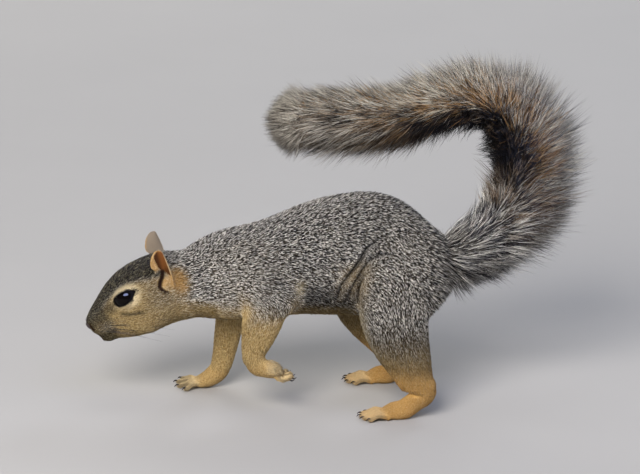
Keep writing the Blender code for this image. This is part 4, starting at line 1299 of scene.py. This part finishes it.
def grow_coat(context, label, fine_range, count):
    """Tufts over the part of the skin whose coat is that fine."""
    sizes, rng = context.scene.squirrel_sizes, np.random.default_rng(SEEDS[label])
    points, triangles, normals, fields = read_skin()
    fine, short = fields["fine"], fields["short"]
    lengths = (sizes.coat_length / MM, HALFWAY_TUFT[0], sizes.face_length / MM)
    widths = (sizes.coat_width / MM, HALFWAY_TUFT[1], sizes.face_width / MM)
    length = np.interp(fine, FINE_STEPS, lengths) * (1 - 0.45 * short)
    width = np.interp(fine, FINE_STEPS, widths) * (1 - 0.3 * short)
    length = length * (1 + fields["long"])
    mid = fine[triangles].mean(1)
    low, high = fine_range
    wanted = (mid >= low) & (mid < high) & (fields["tail"][triangles].mean(1) < 0.5)
    wanted &= fields["naked"][triangles].mean(1) < 0.5
    density = wanted / (length * width)[triangles].mean(1) ** 0.85
    count, wider = thinned(count)
    chosen, shares = scattered(points, triangles, density, count, rng)
    corners = triangles[chosen]

    def at_root(values):
        wide = values[corners]
        return (wide * (shares[..., None] if values.ndim == 2 else shares)).sum(1)

    root, normal = at_root(points), unit(at_root(normals))
    lie = laid(at_root(fields["lie"]), normal)
    side = np.cross(normal, lie)
    size = at_root(length) * rng.uniform(0.75, 1.2, count)
    thick = at_root(width) * rng.uniform(0.7, 1.15, count) * wider
    swing = rng.normal(0, 0.13, count)[:, None]
    way = unit(lie + side * swing)
    steep = np.interp(at_root(fine), FINE_STEPS, COAT_STEEP) * (1 + 0.5 * at_root(fields["loose"]))
    lift = (np.radians(rng.uniform(11, 27, count)) * steep)[:, None]
    early = way * np.cos(lift * 1.3) + normal * np.sin(lift * 1.3)
    late = way * np.cos(lift * 0.7) + normal * np.sin(lift * 0.7)
    bend = root + early * size[:, None] * 0.5
    tip = bend + late * size[:, None] * 0.5
    root = root - normal * 0.25
    for spots in (root, bend, tip):
        spots[:, 2] = np.maximum(spots[:, 2], 0.12)
    shape = strands(root, bend, tip, normal, thick, 0.48)
    shape[0][..., 2] = np.maximum(shape[0][..., 2], 0.02)
    part = fields["part"][corners[:, 0]].astype(int)
    values = {key: np.clip(at_root(fields[key]) + rng.normal(0, 0.05, count), 0, 1) for key in COAT_KEYS}
    # Neighbours differ by the golden section, so light and dark hairs are evenly mixed.
    values["strand"] = (np.arange(count) * 0.618034 + rng.uniform(-0.1, 0.1, count)) % 1.0
    groups = []
    for name, starts in COAT_GROUPS.items():
        members = np.flatnonzero(of_part(part, *starts))
        if len(members):
            groups.append((name, members))
    looks = context.scene.squirrel_colours
    material = bpy.data.materials.get("guard_hair") or pelt_material(looks)
    coat_pieces(label, groups, shape, unwrap(root, part), values, material, "grey_coat")


class SQUIRREL_OT_body_coat(bpy.types.Operator):
    """Grow the tufts of the neck, trunk and upper legs"""

    bl_idname = "squirrel.body_coat"
    bl_label = "Body Coat"

    def execute(self, context):
        grow_coat(context, "coat", (-1, FINE_FROM), context.scene.squirrel_sizes.body_tufts)
        return {"FINISHED"}


class SQUIRREL_OT_fine_coat(bpy.types.Operator):
    """Grow the small tufts of the face, the lower legs and the feet"""

    bl_idname = "squirrel.fine_coat"
    bl_label = "Face and Feet Coat"

    def execute(self, context):
        grow_coat(context, "fine", (FINE_FROM, 2), context.scene.squirrel_sizes.fine_tufts)
        return {"FINISHED"}


def round_tail(t, angle, core=None, reach=None):
    """Places round the tail, at a distance from its bone or a share of its brush, and the way out."""
    bone, brush, outward = tail_frame(t)
    sine, cosine = np.sin(angle), np.cos(angle)
    if core is None:
        wide, deep = (reach * np.maximum(brush[:, k], BRUSH_LEAST) for k in (3, 2))
        middle = brush[:, :2]
    else:
        wide = deep = core
        middle = bone
    places = np.column_stack([sine * wide, middle + outward * (cosine * deep)[:, None]])
    return places, np.column_stack([sine, outward * cosine[:, None]])


class SQUIRREL_OT_tail_coat(bpy.types.Operator):
    """Grow the long hair of the tail, in locks that reach to the brush's outline"""

    bl_idname = "squirrel.tail_coat"
    bl_label = "Tail Coat"

    def execute(self, context):
        sizes, rng = context.scene.squirrel_sizes, np.random.default_rng(SEEDS["tail"])
        count, wider = thinned(sizes.tail_tufts)
        # Each lock's place, its way round the tail, how far it reaches out and how far it is swept.
        locks = count // 10
        lock = np.minimum(np.arange(count) * locks // count, locks - 1)
        lock_t = (np.arange(locks) + rng.random(locks)) / locks * 1.02 - 0.02
        lock_t = np.where(rng.random(locks) < 0.05, 0.965 + 0.025 * rng.random(locks), lock_t)
        lock_angle = rng.random(locks) * 2 * math.pi
        lock_reach = 1.08 - 0.46 * rng.random(locks) ** 1.2 + 0.22 * (rng.random(locks) < 0.14)
        lock_sweep = rng.uniform(0.03, 0.105, locks)
        t = np.clip(lock_t[lock] + rng.normal(0, 0.007, count), 0, 0.99)
        angle = lock_angle[lock] + rng.normal(0, 0.22, count)
        tip_angle = lock_angle[lock] + rng.normal(0, 0.09, count)
        reach = lock_reach[lock] * rng.uniform(0.82, 1.06, count)
        outside = np.cos(angle)
        sweep = lock_sweep[lock] * rng.uniform(0.75, 1.25, count) * (1 - 0.25 * np.clip(outside, 0, 1))
        sweep *= 1 + 0.35 * smooth(0.12, 0.0, t)
        tip_t = np.minimum(t + sweep, 0.94 + 0.085 * rng.random(count))
        reach *= 1 + 0.22 * smooth(0.86, 0.95, t) * rng.random(count)
        # The last locks point ahead and close the brush's end.
        end = smooth(0.90, 0.975, t)
        inner = 1.3 * np.sqrt(rng.random(locks))[lock] * rng.uniform(0.8, 1.1, count)
        reach = reach * (1 - end) + inner * end
        tip_end = 0.978 + 0.03 * rng.random(count) - 0.02 * inner**2 + 0.02 * rng.random(locks)[lock]
        tip_t = tip_t * (1 - end) + tip_end * end

        core = np.interp(t, [0, 1], TAIL_CORE) * 0.8
        root, normal = round_tail(t, angle, core=core)
        tip, _ = round_tail(tip_t, tip_angle, reach=reach)
        span = np.linalg.norm(tip - root, axis=1)[:, None]
        bend = root * 0.5 + tip * 0.5 + normal * span * rng.uniform(0.02, 0.16, count)[:, None]
        bend += rng.normal(0, 0.035, (count, 3)) * span
        width = rng.uniform(0.24, 0.46, count) * wider
        shape = strands(root, bend, tip, normal, width, 0.52)
        across = outside + rng.normal(0, 0.14, count)
        base, far = smooth(0.34, 0.10, t), smooth(0.84, 0.97, t)
        # Close to the body fewer of the hairs take their tone from their lock.
        shared = rng.random(count) < 0.72 - 0.5 * smooth(0.16, 0.04, t)
        dark = smooth(0.34, -0.22, across) * smooth(0.14, 0.32, t) * (1 - 0.5 * smooth(0.64, 0.80, t))
        low = 0.75 * smooth(0.62, 0.86, t) * smooth(0.9, 0.2, across) * (1 - 0.5 * far)
        values = {
            "strand": np.where(shared, rng.random(locks)[lock], rng.random(count)),
            "fringe": np.maximum(smooth(0.25, 0.75, across), 0.85 * far) * (1 - 0.5 * base),
            "dark": dark * (1 - 0.8 * far),
            "grizzled": np.maximum(base * 0.95, low),
        }
        ends = list(TAIL_LENGTHS.values())
        starts = [-1] + ends[:-1]
        groups = [
            (name, np.flatnonzero((t >= start) & (t < end)))
            for name, start, end in zip(TAIL_LENGTHS, starts, ends)
        ]
        uv = np.column_stack([(angle / (2 * math.pi)) % 1.0, t]) * 0.97 + 0.01
        material = tail_material(context.scene.squirrel_colours)
        coat_pieces("tail", groups, shape, uv, values, material, "tail_coat")
        return {"FINISHED"}


# ---- eyes, nose, claws, whiskers ------------------------------------------------------------
class SQUIRREL_OT_eyes(bpy.types.Operator):
    """Set the eyeballs and the dark margins of their lids"""

    bl_idname = "squirrel.eyes"
    bl_label = "Eyes"

    def execute(self, context):
        # A live eye: clear wet cornea over a brown so dark that it reads as black.
        wet = plain_material("wet_cornea", "#080505", 0.05, 1.376, 0.2)
        # Lid margin: bare, moist, dark skin.
        rim = plain_material("lid_margin", "#080605", 0.65, SKIN_IOR, 0.08)
        for side, word in ((1, "left"), (-1, "right")):
            centre = np.array(HEAD @ Vector((EYE[0] * side, *EYE[1:])))
            mesh = bpy.data.meshes.new("eyeball_" + word)
            work = bmesh.new()
            bmesh.ops.create_uvsphere(work, u_segments=64, v_segments=40, radius=EYE_RADIUS * MM)
            rear, up, outward = (turned([v], HEAD.to_3x3().to_4x4())[0] for v in eye_axes(side))
            turn = Matrix(np.column_stack([rear, up, outward]).tolist())
            bmesh.ops.transform(work, matrix=turn.to_4x4(), verts=work.verts)
            bmesh.ops.translate(work, vec=Vector(to_frame([centre])[0]), verts=work.verts)
            bmesh.ops.recalc_face_normals(work, faces=work.faces)
            work.to_mesh(mesh)
            work.free()
            mesh.shade_smooth()
            ball = bpy.data.objects.new("eyeball_" + word, mesh)
            bpy.context.scene.collection.objects.link(ball)
            finish_piece(ball, wet, "eye", "eye_" + word)
            turnings = np.linspace(0, 2 * math.pi, 73)[:-1]
            a = EYE_OPENING[0] * 0.99 * np.cos(turnings) + EYE_BACK * 0.25
            b = EYE_OPENING[1] * np.sign(np.sin(turnings)) * np.abs(np.sin(turnings)) ** 1.34
            height = np.sqrt(np.maximum((EYE_RADIUS + 0.15) ** 2 - a**2 - b**2, 0.6))
            loop = centre + np.outer(a, rear) + np.outer(b, up) + np.outer(height, outward)
            finish_piece(piece_from("lid_margin_" + word, *ring_tube(loop, 0.2, 8, centre)), rim, "eye")
        return {"FINISHED"}


def ring_tube(loop, radius, sides, centre):
    """A closed ring of round section along a loop."""
    count = len(loop)
    tangents = unit(np.roll(loop, -1, axis=0) - np.roll(loop, 1, axis=0))
    outward = unit(loop - centre)
    across = unit(np.cross(tangents, outward))
    outward = np.cross(across, tangents)
    turn = np.arange(sides) * 2 * math.pi / sides
    width = np.cos(turn)[None, :, None] * across[:, None]
    height = np.sin(turn)[None, :, None] * outward[:, None]
    rings = loop[:, None] + radius * (width + height)
    grid = np.arange(count * sides).reshape(count, sides)
    ahead, beside = np.roll(grid, -1, axis=0), np.roll(grid, -1, axis=1)
    both = np.roll(ahead, -1, axis=1)
    faces = np.vstack([
        np.stack([grid.ravel(), both.ravel(), beside.ravel()], 1),
        np.stack([grid.ravel(), ahead.ravel(), both.ravel()], 1),
    ])
    return rings.reshape(-1, 3), faces


class SQUIRREL_OT_nose(bpy.types.Operator):
    """Set the bare nose pad"""

    bl_idname = "squirrel.nose"
    bl_label = "Nose"

    def execute(self, context):
        # Nose leather: bare pebbled skin, moist, so it has a dull shine.
        finish = {"scale": 2200.0, "depth": 0.0002, "coat": (0.1, 0.3)}
        leather = plain_material("nose_leather", "#3b3130", 0.5, SKIN_IOR, **finish)
        turn = np.linspace(0, 2 * math.pi, 25)[:-1]
        middle, down, out = (np.array(v) for v in ((0, -60.3, -10.6), (0, 0.48, -0.88), (0, -0.88, -0.48)))
        rows = []
        for share in np.linspace(0, 1, 9):
            lean = share * math.pi
            rows.append([
                middle
                + np.array((3.5 * math.sin(lean) * math.cos(a), 0, 0))
                - down * 3.6 * math.cos(lean)
                + out * 2.1 * math.sin(lean) * math.sin(a)
                for a in turn
            ])
        grid = np.array(rows)
        points = turned(grid.reshape(-1, 3), HEAD)
        index = np.arange(grid.size // 3).reshape(grid.shape[:2])
        beside = np.roll(index, -1, axis=1)
        faces = quads(index[:-1], beside[:-1], beside[1:], index[1:])
        finish_piece(piece_from("nose_pad", points, faces), leather, "head_coat")
        return {"FINISHED"}


class SQUIRREL_OT_claws(bpy.types.Operator):
    """Set the claws at the ends of the toes"""

    bl_idname = "squirrel.claws"
    bl_label = "Claws"

    def execute(self, context):
        # Claw: horn, grown in layers and worn smooth, dark and slightly glossy.
        horn = plain_material("claw_horn", "#2a211b", 0.55, KERATIN, 0.12, 1400.0)
        for foot in FEET:
            shapes = []
            for matrix, length in toe_places(foot):
                start = length + TOE_RADIUS / 2
                line = [(start + CLAW_LENGTH * s, rise, CLAW_RADIUS * size) for s, rise, size in CLAW_LINE]
                rows = through([(0, -ahead, rise, radius) for ahead, rise, radius in line], 5)
                shapes.append(tube(turned(rows[:, :3], matrix), rows[:, 3], 10))
            points, faces = merged(shapes)
            points[:, 2] = np.maximum(points[:, 2], 0.05)
            finish_piece(piece_from("claws_" + foot, points, faces), horn, "tawny_coat")
        return {"FINISHED"}


class SQUIRREL_OT_whiskers(bpy.types.Operator):
    """Set the whiskers of the muzzle, swept back"""

    bl_idname = "squirrel.whiskers"
    bl_label = "Whiskers"

    def execute(self, context):
        sizes, rng = context.scene.squirrel_sizes, np.random.default_rng(SEEDS["whiskers"])
        # Whisker: a stiff black bristle of horn, smooth and faintly glossy.
        bristle = plain_material("whisker_bristle", "#17120f", 0.4, KERATIN)
        shapes = []
        steps = np.arange(14)
        radii = np.interp(steps, [0, 1.0, 13], [0.16, 0.11, 0.035])
        share = np.linspace(0, 1, len(steps))[:, None]
        for side in (1, -1):
            for root in WHISKERS:
                back, low = (root[1] + 56.5) / 12, -(root[2] + 9.5) / 8
                root = np.array(root) + (0.25, 0, 0)
                size = sizes.whisker_length / MM * (0.35 + 0.55 * back) * rng.uniform(0.85, 1.0)
                way = unit(np.array((0.30, 0.9, 0.02 - 0.55 * low)) + rng.normal(0, 0.05, 3))
                middle = root + way * size * 0.5 + (1.0, 0, 0)
                tip = root + way * size + np.array((-0.04, 0.05, -0.14)) * size
                path = root * (1 - share) ** 2 + middle * 2 * share * (1 - share) + tip * share**2
                shapes.append(tube(turned(path * (side, 1, 1), HEAD), radii, 5))
        finish_piece(piece_from("whiskers", *merged(shapes)), bristle, "head_coat")
        return {"FINISHED"}


# ---- stage ----------------------------------------------------------------------------------
class SQUIRREL_OT_stage(bpy.types.Operator):
    """Set the floor, the backdrop, the lights and the camera"""

    bl_idname = "squirrel.stage"
    bl_label = "Stage"

    def execute(self, context):
        # Painted board, rolled on: matt and pale, with a faint unevenness.
        paint = plain_material("matt_paint", "#aeacaa", 0.85, SKIN_IOR, scale=9.0, vary=0.05)
        side, away, radius, top = BOARD
        turn = [math.pi / 2 * i / 24 for i in range(25)]
        curve = [(away + radius * math.sin(a), radius - radius * math.cos(a)) for a in turn]
        profile = [(-side, 0.0), *curve, (away + radius, top)]
        # The board rises behind the animal as the camera sees it, towards -X, and so far off
        # that the animal can be looked at from that side too.
        points = np.array([(-out, along, up) for out, up in profile for along in (-side, side)]) / MM
        firsts = range(0, len(points) - 2, 2)
        faces = [face for a in firsts for face in ((a, a + 1, a + 3), (a, a + 3, a + 2))]
        board = piece_from("floor", points - ORIGIN, np.array(faces))
        board.data.materials.append(paint)

        world = bpy.data.worlds.new("studio")
        context.scene.world = world
        world.use_nodes = True
        sky = world.node_tree.nodes["Background"]
        feed(world.node_tree, sky, {"Color": linear("#dfe6f0"), "Strength": 0.28})
        for name, place, target, size, power, tint, gleam, matt in LIGHTS:
            lamp = bpy.data.lights.new(name, "AREA")
            lamp.shape, lamp.energy, lamp.color = "ELLIPSE", power, linear(tint)
            lamp.size, lamp.size_y = size
            holder = bpy.data.objects.new(name, lamp)
            holder.location = place
            holder.rotation_euler = (Vector(target) - Vector(place)).to_track_quat("-Z", "Y").to_euler()
            holder.visible_glossy, holder.visible_diffuse = gleam, matt
            context.scene.collection.objects.link(holder)

        camera_data = bpy.data.cameras.new("camera")
        camera_data.sensor_width = SENSOR
        camera_data.lens = SENSOR * CAMERA_FAR / VIEW_WIDTH
        camera_data.clip_end = 20.0
        right, up = Vector(CAMERA_RIGHT).normalized(), Vector(CAMERA_UP)
        up = (up - right * up.dot(right)).normalized()
        back = right.cross(up)
        turn = Matrix((right, up, back)).transposed()
        aim = Vector(to_frame([CAMERA_AIM])[0])
        camera = bpy.data.objects.new("camera", camera_data)
        camera.matrix_world = Matrix.Translation(aim + back * (CAMERA_FAR * MM)) @ turn.to_4x4()
        context.scene.collection.objects.link(camera)
        context.scene.camera = camera
        context.scene.view_settings.view_transform = "Standard"
        return {"FINISHED"}


# ---- add-on ---------------------------------------------------------------------------------
class SQUIRREL_PT_panel(bpy.types.Panel):
    """Lists the model's sizes, colours and steps"""

    bl_label = "Squirrel Model"
    bl_idname = "SQUIRREL_PT_panel"
    bl_space_type = "VIEW_3D"
    bl_region_type = "UI"
    bl_category = "Squirrel"

    def draw(self, context):
        for group in (context.scene.squirrel_sizes, context.scene.squirrel_colours):
            column = self.layout.column()
            for key in group.bl_rna.properties.keys():
                if key not in ("rna_type", "name"):
                    column.prop(group, key)
        for operator in OPERATORS:
            self.layout.operator(operator.bl_idname)


OPERATORS = [
    SQUIRREL_OT_stage,
    SQUIRREL_OT_skin,
    SQUIRREL_OT_eyes,
    SQUIRREL_OT_nose,
    SQUIRREL_OT_claws,
    SQUIRREL_OT_whiskers,
    SQUIRREL_OT_body_coat,
    SQUIRREL_OT_fine_coat,
    SQUIRREL_OT_tail_coat,
]
CLASSES = [SquirrelColours, SquirrelSizes, *OPERATORS, SQUIRREL_PT_panel]


def register():
    for cls in CLASSES:
        bpy.utils.register_class(cls)
    bpy.types.Scene.squirrel_colours = PointerProperty(type=SquirrelColours)
    bpy.types.Scene.squirrel_sizes = PointerProperty(type=SquirrelSizes)


def unregister():
    del bpy.types.Scene.squirrel_sizes
    del bpy.types.Scene.squirrel_colours
    for cls in reversed(CLASSES):
        bpy.utils.unregister_class(cls)


def main():
    register()
    for operator in OPERATORS:
        group, name = operator.bl_idname.split(".")
        getattr(getattr(bpy.ops, group), name)()
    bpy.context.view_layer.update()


if __name__ == "__main__":
    main()
